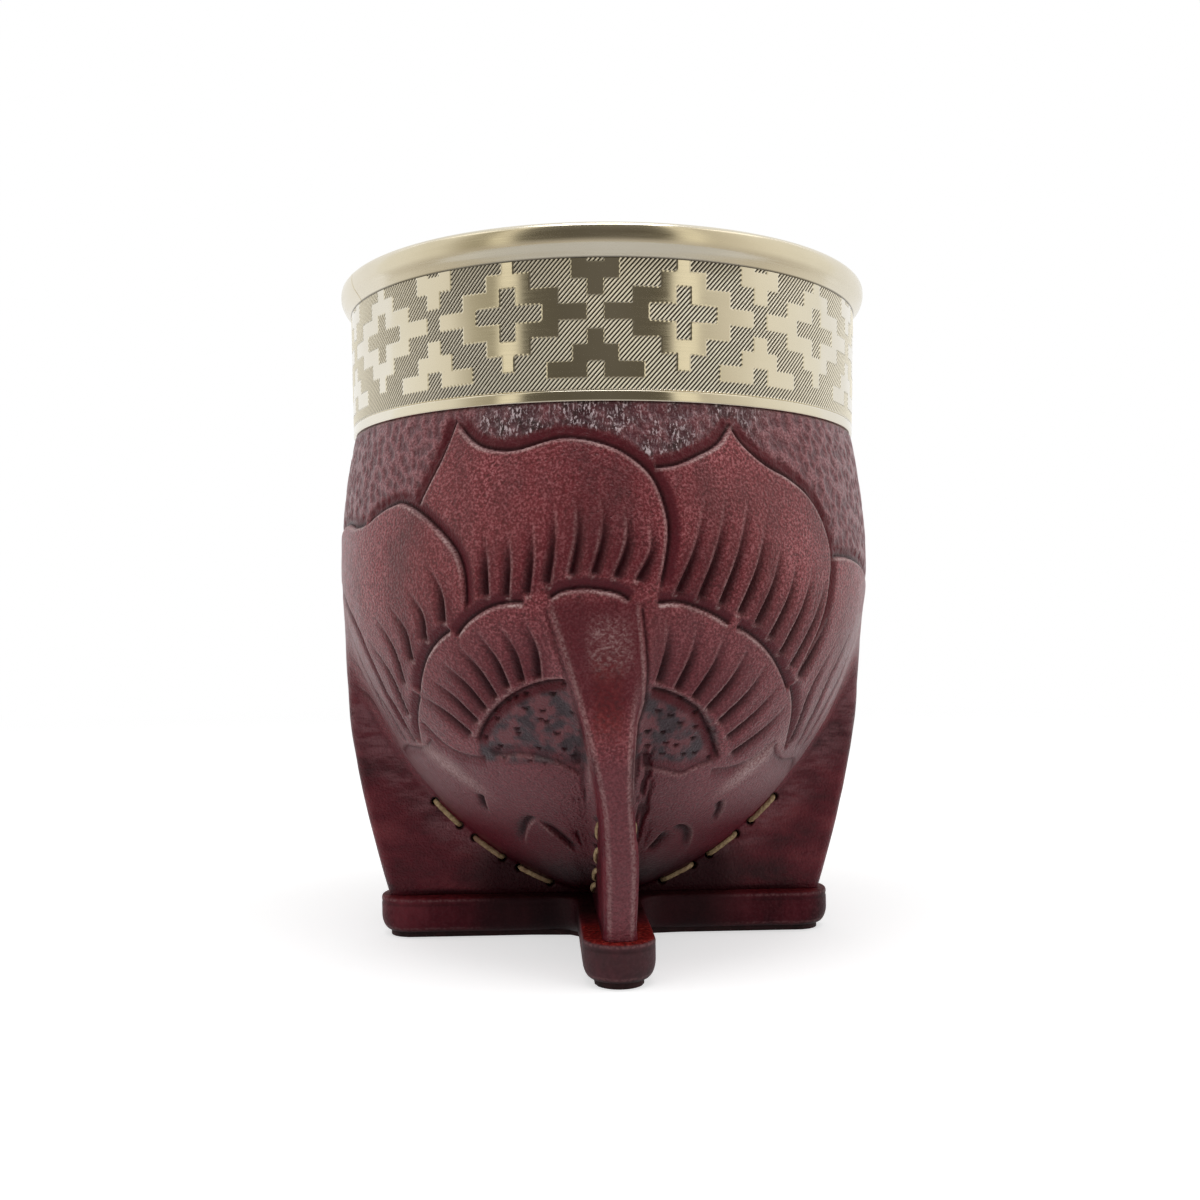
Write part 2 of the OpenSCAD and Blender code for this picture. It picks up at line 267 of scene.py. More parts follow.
def sole_shape(inset):
    half = ARM_W / 2 - inset
    return half, ARM_R - inset, half, half, SOLE_JOIN + 0.0 * inset


def outline_rows(shape, counts):
    """Angles and radii of rows of outlines, evenly spread along each outline.

    shape holds one value a row, and counts the number of columns in each eighth, from angle -180 on.
    """
    shape = [np.asarray(part, float)[:, None] for part in shape]
    disc, reach, half, corner, k = shape
    tip = np.arctan2(half - corner / 3, reach)
    root = np.minimum(np.radians(HALF_SECTOR) * 0.75, np.arctan2(half + k * 0.6, np.maximum(disc, 6.0)))
    t = np.linspace(0.0, 1.0, OUTLINE_STEPS, endpoint=False)[None, :]
    side = np.arctan2(1.0, (1 - t) / np.tan(tip) + t / np.tan(root))
    to_valley = np.linspace(0.0, 1.0, OUTLINE_STEPS + 1)[None, :]
    valley = root + (np.radians(HALF_SECTOR) - root) * to_valley
    angles = np.hstack([tip * t, side, valley])
    radii = ray(angles, shape)
    x = radii * np.cos(angles)
    y = radii * np.sin(angles)
    steps = np.hypot(np.diff(x, axis=1), np.diff(y, axis=1))
    run = np.hstack([np.zeros((len(x), 1)), np.cumsum(steps, axis=1)])
    run /= run[:, -1:]
    rows_angle = []
    for eighth, count in enumerate(counts):
        from_leg = eighth % 2 == 0
        leg = -180.0 + 90.0 * ((eighth + 1) // 2)
        share = np.arange(count) / count
        share = share if from_leg else 1.0 - share
        angle = np.array([np.interp(share, run_row, row) for run_row, row in zip(run, angles)])
        rows_angle.append(leg + (1 if from_leg else -1) * np.degrees(angle))
    theta = np.hstack(rows_angle)
    folded = np.radians(np.abs((theta + HALF_SECTOR) % (2 * HALF_SECTOR) - HALF_SECTOR))
    return theta, ray(folded, shape)


# Meshes

def round_place(theta, radius, z):
    """Points at an angle, a radius and a height."""
    a = np.radians(theta)
    return np.stack([radius * np.sin(a), -radius * np.cos(a), z + 0.0 * radius], axis=-1)


def grid_normals(points):
    """Unit normals of a grid that is closed along its second axis."""
    across = np.roll(points, -1, axis=1) - np.roll(points, 1, axis=1)
    up = np.gradient(points, axis=0)
    normal = np.cross(across, up)
    return normal / np.maximum(np.linalg.norm(normal, axis=-1, keepdims=True), 1e-9)


def rings(theta, profile):
    """Rows of points round the axis, one for each radius and height of a profile."""
    return np.stack([round_place(theta, r + 0.0 * theta, h) for r, h in profile])


def grid_corners(rows, columns):
    """Row and column of the four corners of each face, for so many rows and columns of faces."""
    i = np.arange(rows)[:, None, None]
    j = np.arange(columns)[None, :, None]
    return i + np.array([0, 0, 1, 1]) + 0 * j, j + np.array([0, 1, 1, 0]) + 0 * i


def new_object(name, points, faces, uvs=None, values=None, sharp=None):
    """A smooth-shaded mesh object from points in millimetres, with named values at its points."""
    mesh = bpy.data.meshes.new(name)
    mesh.from_pydata((points * MM).tolist(), [], faces)
    mesh.shade_smooth()
    if sharp is not None:
        mesh.set_sharp_from_angle(angle=np.radians(sharp))
    if uvs is not None:
        layer = mesh.uv_layers.new(name="OFBake")
        layer.data.foreach_set("uv", np.asarray(uvs, np.float32).ravel())
    for key, value in (values or {}).items():
        mesh.attributes.new(key, "FLOAT", "POINT").data.foreach_set("value", value.astype(np.float32).ravel())
    piece = bpy.data.objects.new(name, mesh)
    bpy.context.scene.collection.objects.link(piece)
    return piece


def skin_object(name, grid, start=None, end=None, closed=False, values=None, sharp=None):
    """A mesh over a grid of points whose columns go once round the axis.

    start and end are points that close the first and the last row. closed joins the last row to the first.
    """
    rows, columns = grid.shape[:2]
    points = [grid.reshape(-1, 3)]
    spans = rows if closed else rows - 1
    i, j = grid_corners(spans, columns)
    faces = ((i % rows) * columns + j % columns).reshape(-1, 4).tolist()
    uvs = [np.stack([j / columns, i / spans], axis=-1).reshape(-1, 2)]
    for point, row in ((start, 0), (end, rows - 1)):
        if point is None:
            continue
        tip = sum(len(p) for p in points)
        points.append(np.array([point], float))
        ring = row * columns + np.arange(columns)
        after = row * columns + (np.arange(columns) + 1) % columns
        pair = (after, ring) if row == 0 else (ring, after)
        faces += np.stack([pair[0], pair[1], np.full(columns, tip)], axis=-1).tolist()
        edge = 0.0 if row == 0 else 1.0
        share = np.arange(columns) / columns
        uvs.append(np.stack([share, np.full(columns, edge)], axis=-1).repeat(3, axis=0))
    if values:
        extra = sum(len(p) for p in points) - rows * columns
        values = {k: np.concatenate([np.ravel(v), np.zeros(extra)]) for k, v in values.items()}
    return new_object(name, np.vstack(points), faces, np.vstack(uvs), values, sharp)


def lathe(name, profile, theta, sharp=40.0, dent=None):
    """A solid of revolution; dent is how far each column is pressed in."""
    profile = np.asarray(profile, float)
    radius = profile[:, :1] - (0.0 if dent is None else dent[None, :])
    grid = round_place(theta[None, :], np.maximum(radius, 0.0) + 0.0 * theta[None, :], profile[:, 1:])
    return skin_object(name, grid, closed=True, sharp=sharp)


def arc(centre, radius, start, end, steps):
    a = np.radians(np.linspace(start, end, steps + 1))
    return np.stack([centre[0] + radius * np.cos(a), centre[1] + radius * np.sin(a)], axis=-1)


def finish_piece(piece, material, slot, *nodes):
    piece.data.materials.clear()
    piece.data.materials.append(material)
    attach(piece, "root")
    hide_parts(*nodes)


# Materials

def srgb(red, green, blue):
    """A linear colour from 8-bit display values."""
    c = np.array([red, green, blue]) / 255.0
    c = np.where(c <= 0.04045, c / 12.92, ((c + 0.055) / 1.055) ** 2.4)
    return (*c.tolist(), 1.0)


class Nodes:
    """A tree of shader nodes, with short calls to add and join them.

    A colour of three numbers is in 8-bit display values, and one of four is linear.
    """

    def __init__(self, tree):
        self.tree = tree

    def put(self, socket, value):
        if isinstance(value, bpy.types.NodeSocket):
            self.tree.links.new(value, socket)
        elif socket.type == "RGBA" and len(value) == 3:
            socket.default_value = srgb(*value)
        else:
            socket.default_value = value

    def node(self, kind, inputs, **settings):
        made = self.tree.nodes.new(kind)
        for key, value in settings.items():
            setattr(made, key, value)
        for key, value in inputs.items():
            self.put(made.inputs[key], value)
        return made

    def math(self, kind, a, b):
        return self.node("ShaderNodeMath", {0: a, 1: b}, operation=kind).outputs[0]

    def mix_shaders(self, fac, a, b):
        return self.node("ShaderNodeMixShader", {0: fac, 1: a, 2: b}).outputs[0]

    def seen_directly(self):
        """1 for rays from the camera, a reflection or a see-through surface, 0 for light on the object."""
        rays = self.node("ShaderNodeLightPath", {}).outputs
        first = self.math("MAXIMUM", rays["Is Camera Ray"], rays["Is Glossy Ray"])
        return self.math("MAXIMUM", first, rays["Is Transmission Ray"])


class Shader(Nodes):
    """The nodes of a material."""

    def __init__(self, name):
        self.material = bpy.data.materials.new(name)
        self.material.use_nodes = True
        super().__init__(self.material.node_tree)
        self.main = self.tree.nodes["Principled BSDF"]
        self.place = self.node("ShaderNodeTexCoord", {}).outputs["Object"]

    def value(self, name):
        return self.node("ShaderNodeAttribute", {}, attribute_name=name).outputs["Fac"]

    def along(self, axis):
        return self.node("ShaderNodeSeparateXYZ", {0: self.place}).outputs[axis]

    def stretched(self, scale):
        return self.node("ShaderNodeMapping", {"Vector": self.place, "Scale": scale}).outputs["Vector"]

    def noise(self, scale, detail=3.0, rough=0.55, stretch=None):
        place = self.place if stretch is None else self.stretched(stretch)
        inputs = {"Vector": place, "Scale": scale, "Detail": detail, "Roughness": rough}
        return self.node("ShaderNodeTexNoise", inputs).outputs["Fac"]

    def pebbles(self, scale):
        inputs = {"Vector": self.place, "Scale": scale}
        return self.node("ShaderNodeTexVoronoi", inputs, feature="F1").outputs["Distance"]

    def ramp(self, fac, stops):
        made = self.node("ShaderNodeValToRGB", {"Fac": fac})
        points = made.color_ramp.elements
        while len(points) < len(stops):
            points.new(0.5)
        for point, (position, colour) in zip(points, stops):
            point.position = position
            point.color = srgb(*colour) if isinstance(colour, tuple) else (colour, colour, colour, 1.0)
        return made.outputs["Color"]

    def mix(self, fac, a, b):
        made = self.tree.nodes.new("ShaderNodeMix")
        made.data_type = "RGBA"
        for socket, value in zip((made.inputs[0], made.inputs[6], made.inputs[7]), (fac, a, b)):
            self.put(socket, value)
        return made.outputs[2]

    def span(self, value, low, high, new_low, new_high):
        inputs = {"Value": value, "From Min": low, "From Max": high, "To Min": new_low, "To Max": new_high}
        return self.node("ShaderNodeMapRange", inputs).outputs["Result"]

    def laid(self, colour, tones):
        """A colour with tones laid over it in turn, each where the value of its name is."""
        for name, tone in tones.items():
            colour = self.mix(self.value(name), colour, tone)
        return colour

    def share(self, name, low, high):
        """A named value of the mesh, taken from 0 to 1 on to low to high."""
        return self.span(self.value(name), 0.0, 1.0, low, high)

    def bump(self, height, distance, strength=1.0, normal=None):
        inputs = {"Height": height, "Distance": distance * MM, "Strength": strength}
        if normal is not None:
            inputs["Normal"] = normal
        return self.node("ShaderNodeBump", inputs).outputs["Normal"]

    def surface(self, **inputs):
        for key, value in inputs.items():
            self.put(self.main.inputs[key.replace("_", " ")], value)
        return self.material

    def show(self, shader):
        """Shows another shader in the main one's place."""
        self.put(self.tree.nodes["Material Output"].inputs["Surface"], shader)


def petal_tones(s, grain, patches):
    """Tones of the petals, and of the smoother leather lower down."""
    petals = s.ramp(grain, [(0.36, (86, 8, 20)), (0.5, (134, 40, 51)), (0.65, (178, 100, 105))])
    petals = s.mix(s.span(patches, 0.4, 0.7, 0.0, 0.5), petals, (104, 18, 30))
    stains = s.noise(150.0, 5.0, 0.65, stretch=(1.0, 1.0, 0.45))
    petals = s.mix(s.span(stains, 0.48, 0.72, 0.0, 0.6), petals, (66, 10, 24))
    smooth = s.ramp(grain, [(0.36, (94, 26, 38)), (0.66, (130, 58, 67))])
    smooth = s.mix(s.span(patches, 0.4, 0.7, 0.0, 0.4), smooth, (84, 20, 34))
    return s.mix(s.value("smooth"), petals, smooth)


def leg_tones(s):
    """Streaked tones of the legs, with a sheen on the folds at their seams."""
    streaks = s.noise(90.0, 6.0, 0.62, stretch=(1.0, 1.0, 1.6))
    legs = s.ramp(streaks, [(0.34, (58, 8, 20)), (0.52, (94, 19, 34)), (0.7, (122, 46, 54))])
    folds = s.noise(420.0, 4.0, 0.6, stretch=(0.5, 0.5, 1.6))
    sheen = s.math("MULTIPLY", s.value("seam"), s.span(folds, 0.42, 0.62, 0.1, 0.8))
    return s.mix(sheen, legs, (132, 82, 88))


def ground_tones(s, grain):
    """Tones of the matted ground: pale strokes on the front and the back, painted highlights of specks that
    catch the light over the matting, and softer at the sides.
    """
    strokes = s.noise(2300.0, 2.0, 0.65, stretch=(1.4, 1.4, 0.6))
    brushed = s.ramp(strokes, [(0.43, (38, 3, 14)), (0.53, (70, 22, 34)), (0.62, (214, 196, 199))])
    soft = s.ramp(grain, [(0.36, (94, 28, 40)), (0.5, (130, 62, 70)), (0.64, (162, 106, 111))])
    clumps = s.span(s.noise(230.0, 2.0), 0.42, 0.6, 0.3, 1.0)
    ground = s.mix(s.math("MULTIPLY", s.value("brushed"), clumps), soft, brushed)
    return s.mix(s.value("dent"), ground, (74, 22, 37))


def leather_material():
    """Burgundy tooled leather: dye gathers in the cuts, with painted shade there too and in the creases, the
    stitch holes and where the legs meet; the raised rims carry painted highlights.
    """
    s = Shader("tooled_leather")
    grain = s.noise(2800.0, 2.0, 0.6)
    patches = s.noise(60.0, 4.0, 0.6)
    red = s.ramp(s.noise(1500.0, 3.0, 0.6), [(0.36, (68, 0, 3)), (0.54, (116, 5, 11)), (0.7, (150, 54, 53))])
    blotches = s.noise(420.0, 2.0)
    stipple = s.ramp(blotches, [(0.42, (46, 20, 33)), (0.5, (74, 36, 46)), (0.6, (108, 48, 56))])
    colour = s.laid(petal_tones(s, grain, patches), {
        # leg tones also lie as painted shade on the front leg's flanks
        "leg": leg_tones(s),
        "worn": red,
        "matted": ground_tones(s, grain),
        "disc": stipple,
        "bevel": (84, 14, 28),
        # near-black: dye, and painted shade in the cuts, creases and corners
        "cut": (42, 3, 12),
    })
    # pale tone of the painted highlights: tooled rims, the leg's border and edges, the hips and the wrinkle
    # lines at the leg's top
    pale = s.ramp(grain, [(0.36, (140, 84, 86)), (0.62, (210, 182, 178))])
    # painted highlight broken into wrinkle lines at the top of the front leg
    furrows = s.noise(1900.0, 2.0, 0.6, stretch=(0.8, 0.8, 1.4))
    wrinkle_glints = s.math("MULTIPLY", s.value("wrinkle_highlight"), s.span(furrows, 0.42, 0.64, 0.2, 1.0))
    colour = s.mix(s.math("MAXIMUM", s.value("rim"), wrinkle_glints), colour, pale)
    # near-black: painted shade in the stitch holes
    colour = s.mix(s.value("hole"), colour, (12, 5, 5))
    normal = s.bump(grain, 0.26, 0.8)
    normal = s.bump(s.pebbles(1900.0), 0.10, 0.5, normal)
    rough = s.span(s.noise(700.0, 3.0), 0.3, 0.7, 0.28, 0.44)
    sheen = s.span(s.value("matt"), 0.0, 0.8, 0.24, 0.0)
    return s.surface(Base_Color=colour, Roughness=rough, Normal=normal, Sheen_Weight=sheen,
                     Sheen_Roughness=0.35, Specular_IOR_Level=s.share("matt", 0.5, 0.12))


def sole_material():
    """Dark burnished edge, with a rough reddish suede on top; painted shade darkens the edge's lowest strip,
    its groove and the middle of the top, and a pale painted highlight runs along the edge just above the
    groove.
    """
    s = Shader("sole_leather")
    layers = s.noise(140.0, 4.0, 0.6, stretch=(1.0, 1.0, 0.6))
    speckle = s.noise(1900.0, 2.0, 0.6)
    edge = s.ramp(layers, [(0.34, (48, 6, 15)), (0.52, (80, 19, 30)), (0.7, (112, 44, 53))])
    edge = s.mix(s.span(speckle, 0.45, 0.7, 0.0, 0.3), edge, (104, 56, 63))
    fuzz = s.noise(1500.0, 4.0, 0.7)
    suede = s.ramp(fuzz, [(0.36, (58, 4, 4)), (0.55, (126, 20, 18)), (0.7, (160, 70, 60))])
    # the dark tone is painted shade: along the edge's lowest strip, in its groove and in the middle of the
    # top
    colour = s.laid(edge, {"toe": (72, 69, 70), "suede": suede, "dark": (20, 7, 10)})
    # the pale dotted lines: a painted highlight just above the groove, and a row of dots near the pad
    dotted = s.math("MULTIPLY", s.value("line"), s.span(speckle, 0.4, 0.6, 0.2, 1.0))
    colour = s.mix(dotted, colour, (128, 88, 90))
    normal = s.bump(s.noise(2200.0, 4.0, 0.7), 0.14, 0.6)
    rough = s.share("suede", 0.46, 0.85)
    return s.surface(Base_Color=colour, Roughness=rough, Normal=normal, Specular_IOR_Level=0.1)


def pad_material():
    s = Shader("pad_leather")
    colour = s.ramp(s.noise(500.0, 4.0, 0.65), [(0.35, (30, 13, 15)), (0.7, (60, 30, 33))])
    normal = s.bump(s.noise(1800.0, 4.0, 0.7), 0.15, 0.6)
    return s.surface(Base_Color=colour, Roughness=0.8, Normal=normal, Specular_IOR_Level=0.3)


def band_material():
    """Nickel silver: brushed on the raised figures; the hatched ground is frosted and given a lighter tone, a
    painted highlight of the light its ridges catch, with painted shade at the bottom of its grooves.
    """
    s = Shader("engraved_metal")
    tone = s.ramp(s.noise(45.0, 3.0), [(0.3, (218, 211, 194)), (0.7, (230, 224, 209))])
    # the hatched tone is the frosted finish lightened as a painted highlight; the groove tone is painted
    # shade at the bottom of the hatching's grooves
    colour = s.laid(tone, {"hatched": (252, 246, 230), "hatch_shade": (58, 51, 40)})
    brushed = s.noise(5200.0, 3.0, 0.6, stretch=(0.02, 0.02, 1.0))
    normal = s.bump(brushed, 0.012, 0.25)
    rough = s.span(brushed, 0.3, 0.7, 0.09, 0.18)
    rough = s.math("MAXIMUM", rough, s.share("hatched", 0.0, 0.4))
    frosted = s.share("hatched", 1.0, 0.85)
    return s.surface(Base_Color=colour, Roughness=rough, Normal=normal, Metallic=frosted)


def lip_material():
    """Polished nickel silver with faint rubbing round the lip."""
    s = Shader("polished_metal")
    tone = s.ramp(s.noise(40.0, 3.0), [(0.3, (214, 206, 186)), (0.7, (226, 218, 200))])
    rubbed = s.noise(3600.0, 3.0, 0.6, stretch=(0.03, 0.03, 1.0))
    normal = s.bump(rubbed, 0.012, 0.3)
    rough = s.span(rubbed, 0.3, 0.7, 0.14, 0.26)
    joint = s.span(s.along("Z"), (LIP_Z + 0.12) * MM, (LIP_Z + 0.3) * MM, 0.85, 0.0)
    colour = s.mix(joint, tone, (74, 66, 54))
    return s.surface(Base_Color=colour, Roughness=rough, Normal=normal, Metallic=1.0)


def gourd_material():
    """Dry calabash: straw brown with darker fibres that run down the wall."""
    s = Shader("calabash")
    fibres = s.noise(260.0, 5.0, 0.65, stretch=(1.0, 1.0, 0.18))
    colour = s.ramp(fibres, [(0.3, (104, 70, 36)), (0.55, (150, 112, 66)), (0.75, (182, 146, 96))])
    spots = s.ramp(s.noise(120.0, 4.0), [(0.55, 0.0), (0.75, 0.6)])
    colour = s.mix(spots, colour, (88, 58, 32))
    normal = s.bump(fibres, 0.5, 0.6)
    return s.surface(Base_Color=colour, Roughness=0.8, Normal=normal, Specular_IOR_Level=0.25)


def thread_material():
    """Waxed cream thread, a little stained by the leather's dye."""
    s = Shader("waxed_thread")
    fibres = s.noise(1900.0, 4.0, 0.65)
    colour = s.ramp(fibres, [(0.3, (120, 96, 66)), (0.55, (180, 154, 114)), (0.75, (210, 190, 150))])
    stain = s.ramp(s.noise(150.0, 3.0), [(0.45, 0.0), (0.7, 0.7)])
    colour = s.mix(stain, colour, (122, 78, 66))
    normal = s.bump(fibres, 0.12, 0.6)
    return s.surface(Base_Color=colour, Roughness=0.6, Normal=normal, Specular_IOR_Level=0.35)


# Tooling of the leather: one large flower on the front, and its mirror image on the back.
# Each path is in degrees from the flower's middle and millimetres above the ground.
# The pressed-down side of an edge is on the left along its path.

DEGREE = np.pi / 180 * BELLY_R    # length of one degree round the belly

EDGES = [
    # centre petal: left side, then over the top and down the right side
    [(-41, 68.5), (-38, 72.3), (-35.5, 75.5), (-32.7, 81)],
    [(-33.4, 81), (-30, 78.1), (-26, 76.3), (-20, 75.8), (-11, 77.3), (-3, 76.3), (2.5, 74.1), (6.2, 71),
     (8.3, 66), (8.2, 61.8), (6.5, 55.2)],
    # right petal: its top, and its right side down to the ring
    [(5.6, 73), (10, 73.4), (15, 75), (19, 76.7), (22.6, 80)],
    [(21.2, 81), (22.7, 78.5), (25.2, 76.3), (29.7, 74), (34.4, 72.6), (40, 70.3), (44.2, 67), (46.7, 63.5),
     (47.1, 60), (46.3, 54.5), (44.7, 49.5), (40.5, 42.6)],
    # left petal: its top and right side, and its left side
    [(-92, 62), (-82, 66), (-72, 67.5), (-64.4, 66.6), (-57.7, 66.9)],
    [(-58.5, 66.6), (-54, 68.1), (-49.7, 69.1), (-45.7, 69.3), (-40, 67.4), (-34.5, 64.2), (-31.2, 61.3),
     (-29.9, 57.8), (-30.2, 53)],
    [(-58.6, 34.3), (-60.4, 39.1), (-63.4, 46.5), (-67.2, 51.7), (-75.2, 56.6), (-85, 59)],
    # far right petal: its top, and its side next to the ring
    [(46.9, 61.2), (52, 61.5), (58, 61.2), (65.7, 60), (75, 57.5), (92, 52)],
    [(40, 42.4), (43.6, 39.3), (46.6, 35.6), (49.7, 31.9)],
    # ring round the disc
    [(-46.9, 41.5), (-44.9, 43.8), (-41.8, 46.7), (-37.8, 49.2), (-33.6, 50.9)],
    [(-32.9, 49.8), (-30.8, 51.4), (-27.8, 52.9), (-24.1, 54.1), (-20.7, 54.5), (-17.6, 54.4)],
    [(6, 54.3), (10.4, 54.4), (14.4, 53.6), (17.7, 52.6), (21.2, 51.2)],
    [(22, 51), (24.5, 50.4), (28.4, 48.8), (32.4, 46.7), (36.3, 44.1), (39.8, 41.5)],
    [(-55.4, 33.4), (-51, 38), (-46.9, 41.3)],
    # disc
    [(-9.8, 43.8), (-14.6, 43.6), (-19.1, 42.7), (-23.8, 41.1), (-28.1, 39), (-31.6, 36.8), (-34.5, 34.4)],
    [(25.8, 31.8), (23.2, 34), (20.2, 36.7), (17.1, 39.2), (14.2, 40.5), (10.5, 41.8), (5.6, 42.7)],
    # top of the leg
    [(-13.6, 54.9), (-10.9, 56), (-7.1, 56.4), (-3.4, 56.1), (-0.6, 55.6), (1.6, 54.5)],
]
# Fainter edges along the foot of the flower: ring, disc and outer petals
FAINT_EDGES = [
    [(-33, 32.2), (-39.4, 32.3), (-45, 33.8), (-50.1, 37.3)],
    [(42.6, 34), (37.9, 31.7), (31.7, 30.3), (23.9, 30.1)],
    [(-32, 33.4), (-29.6, 32.5), (-23.5, 32.7), (-18.7, 32.3), (-14.4, 31.6), (-8.6, 29.6)],
    [(5, 31), (10, 30.6), (15.9, 29.8), (19.7, 30.8), (24.4, 31.6)],
    [(-49, 34.8), (-53.5, 33.2), (-60.2, 32.6), (-66.5, 32.5), (-78, 31)],
    [(80, 27.5), (70, 28.2), (60.2, 30), (52.9, 30.2), (46.4, 31.6), (43.2, 33.8)],
]
# Plain cuts: leaves at the foot of the flower
LEAVES = [
    [(-15, 16.5), (-19, 19), (-22.4, 20.9), (-24.6, 22.9)],
    [(-24.6, 22.9), (-30, 21.4), (-38.5, 17.3)],
    [(-41, 26), (-42.6, 24.4), (-43.6, 22.6)],
    [(14, 16.5), (16, 18.3), (18.4, 20.6)],
    [(18.4, 20.6), (23.5, 20.8), (28.2, 19.5), (34.3, 15.8)],
    [(33, 25), (36, 23), (37, 20.5)],
]
# Fans of veins: where they start, where they end, how many, how far the first and the last bow sideways,
# and their steep side
FANS = [
    ([(-16, 43.9), (-22.4, 42.7), (-29.6, 39.1), (-35, 35.7)],
     [(-18.7, 52.7), (-30, 50.8), (-39, 46.1), (-47, 41.6)], 7, (1.0, 0.9), "right"),
    ([(6.9, 43.4), (14.8, 41), (22.6, 37.1), (28.5, 32.5)],
     [(8.6, 52.5), (19.5, 50.4), (30.7, 46.5), (41.4, 39.4)], 7, (0.6, 1.6), "left"),
    ([(-25.1, 55.4), (-16.7, 55.5), (-8.8, 58.2), (2.5, 57.4)],
     [(-25.5, 64.1), (-18.4, 64.9), (-13.4, 68), (-5.8, 69.9), (5.3, 65.7)], 8, (0.2, 1.3), "middle"),
    ([(9.7, 55.6), (19.3, 53.6), (27.9, 50.7), (34.7, 46.6), (41.9, 43.4)],
     [(15.6, 68.3), (24.6, 70), (34.4, 61.6), (43.1, 59.6), (48.7, 55)], 9, (0.8, 1.0), "left"),
    ([(-35, 51.8), (-44, 47.4), (-52.4, 41.2), (-56.7, 33.8), (-63.9, 33.4)],
     [(-38.1, 60.2), (-46.9, 55.3), (-58.8, 52.8), (-64, 46.5), (-72.6, 43.2)], 7, (1.4, 2.8), "right"),
    ([(50.7, 33), (55.3, 32), (60, 31.4), (66, 30.6)],
     [(54, 49.5), (60.5, 51.5), (68, 50), (76, 46)], 4, (-3.6, -1.5), "left"),
    ([(-68, 34), (-73, 33), (-78, 32)], [(-77, 52), (-82, 48), (-87, 45)], 3, (2.0, 2.0), "right"),
]
# Top of the flower, above which the ground is matted
FLOWER_TOP = [
    (-90, 63), (-82, 66), (-72, 67.5), (-58, 66.8), (-48, 69.3), (-41, 69), (-38, 72.5), (-35, 76.5),
    (-33.2, 80.6), (-30, 78.1), (-26, 76.3), (-20, 75.8), (-11, 77.3), (-3, 76.3), (2.5, 74.1), (5.8, 73),
    (10, 73.4), (15, 75), (19, 76.7), (22, 79.6), (25.2, 76.3), (34.4, 72.6), (40, 70.3), (44.2, 67),
    (47, 61.4), (58, 61.2), (65.7, 60), (75, 57.5), (90, 53),
]

EDGE_DEPTH = 0.75
FAINT = 0.5                       # share of that depth for the fainter edges
EDGE_BEVEL = 2.3                  # width of the slope that runs down to an edge
EDGE_WALL = 0.4
VEIN_DEPTH = 0.7
VEIN_SLOPE = (2.4, 1.2)           # width of a vein's slope at its start and at its end
VEIN_WALL = 0.3
LEAF_DEPTH = 0.7
LEAF_SLOPE = 1.9
LEAF_WALL = 0.45
GROUND_DEPTH = 0.2
GROUND_DENT = 0.22
DISC_DEPTH = 0.2
DISC_DENT = 0.14
DASH_DEPTH = 0.35
CLOSING_DEPTH = 0.7               # of the line up the back where the sleeve's edges meet
CREASE_DEPTH = 0.3
BORDER_DEPTH = 0.25
REACH = 5.0                       # how far from its path a cut is worked out
DISC_MIDDLE = (-5.0, 31.2)        # the flower's disc, as angle and height
DISC_HALF = (30.5, 13.0)


def nearest(path, x, z):
    """Distance from a path, whether left of it, the share of its length, and how steeply up it lies."""
    best = np.full(x.shape, np.inf)
    left = np.zeros(x.shape, bool)
    share = np.zeros(x.shape)
    rise = np.zeros(x.shape)
    count = len(path) - 1
    for i in range(count):
        dx, dz = path[i + 1] - path[i]
        gx = x - path[i, 0]
        gz = z - path[i, 1]
        t = np.clip((gx * dx + gz * dz) / (dx * dx + dz * dz), 0.0, 1.0)
        distance = np.hypot(gx - t * dx, gz - t * dz)
        closer = distance < best
        best = np.where(closer, distance, best)
        left = np.where(closer, dx * gz - dz * gx > 0, left)
        rise = np.where(closer, t * dz - gz, rise)
        share = np.where(closer, (i + t) / count, share)
    return best, left, share, rise / np.maximum(best, 1e-6)


def cut(tooling, phi, z, points, profile):
    """Works one path into the tooling; profile gives its parts from the distance, the side and the share."""
    points = np.asarray(points, float)
    middle = points[:, 1].mean()
    slope = float(body_r(middle + 0.5) - body_r(middle - 0.5))
    flat = np.array([float(body_r(middle)) / BELLY_R * DEGREE, np.hypot(1.0, slope)])
    path = smooth_path(points * flat)
    x = phi * flat[0]
    y = z * flat[1]
    near = (x > path[:, 0].min() - REACH) & (x < path[:, 0].max() + REACH)
    near &= (y > path[:, 1].min() - REACH) & (y < path[:, 1].max() + REACH)
    where = np.nonzero(near)
    for whole, part in zip(tooling, profile(*nearest(path, x[where], y[where]))):
        whole[where] = np.maximum(whole[where], part)


def stripe(distance, middle, half):
    """1 at one distance, falling softly to 0 on both sides of it."""
    return ease(np.abs(distance - middle), half, 0.0)


def edge_profile(strength):
    """An edge drops by a short wall to a slope on its left; a painted highlight runs along its raised side,
    stronger where that side faces up, and a dark line along it is dye in the cut with painted shade.
    """
    def profile(distance, left, share, rise):
        run = strength * ease(share, 0.0, 0.06) * ease(share, 1.0, 0.94)
        slope = np.clip(1.0 - distance / EDGE_BEVEL, 0.0, 1.0) ** 1.8
        wall = np.clip(1.0 - distance / EDGE_WALL, 0.0, 1.0) ** 1.5
        depth = EDGE_DEPTH * run * np.where(left, slope, wall)
        # painted highlight along the raised side, brighter where that side faces up
        rim = (0.4 + 0.45 * ease(rise, 0.2, 0.9)) * run ** 2 * stripe(distance, 0.38, 0.4) * ~left
        bevel = 0.92 * run * ease(distance, 2.1, 1.2) * left
        # dark line: dye in the cut, and painted shade next to the wall
        dark = 0.95 * run * np.where(left, ease(distance, 0.75, 0.1), ease(distance, 0.2, 0.0))
        return depth, rim, bevel, dark
    return profile


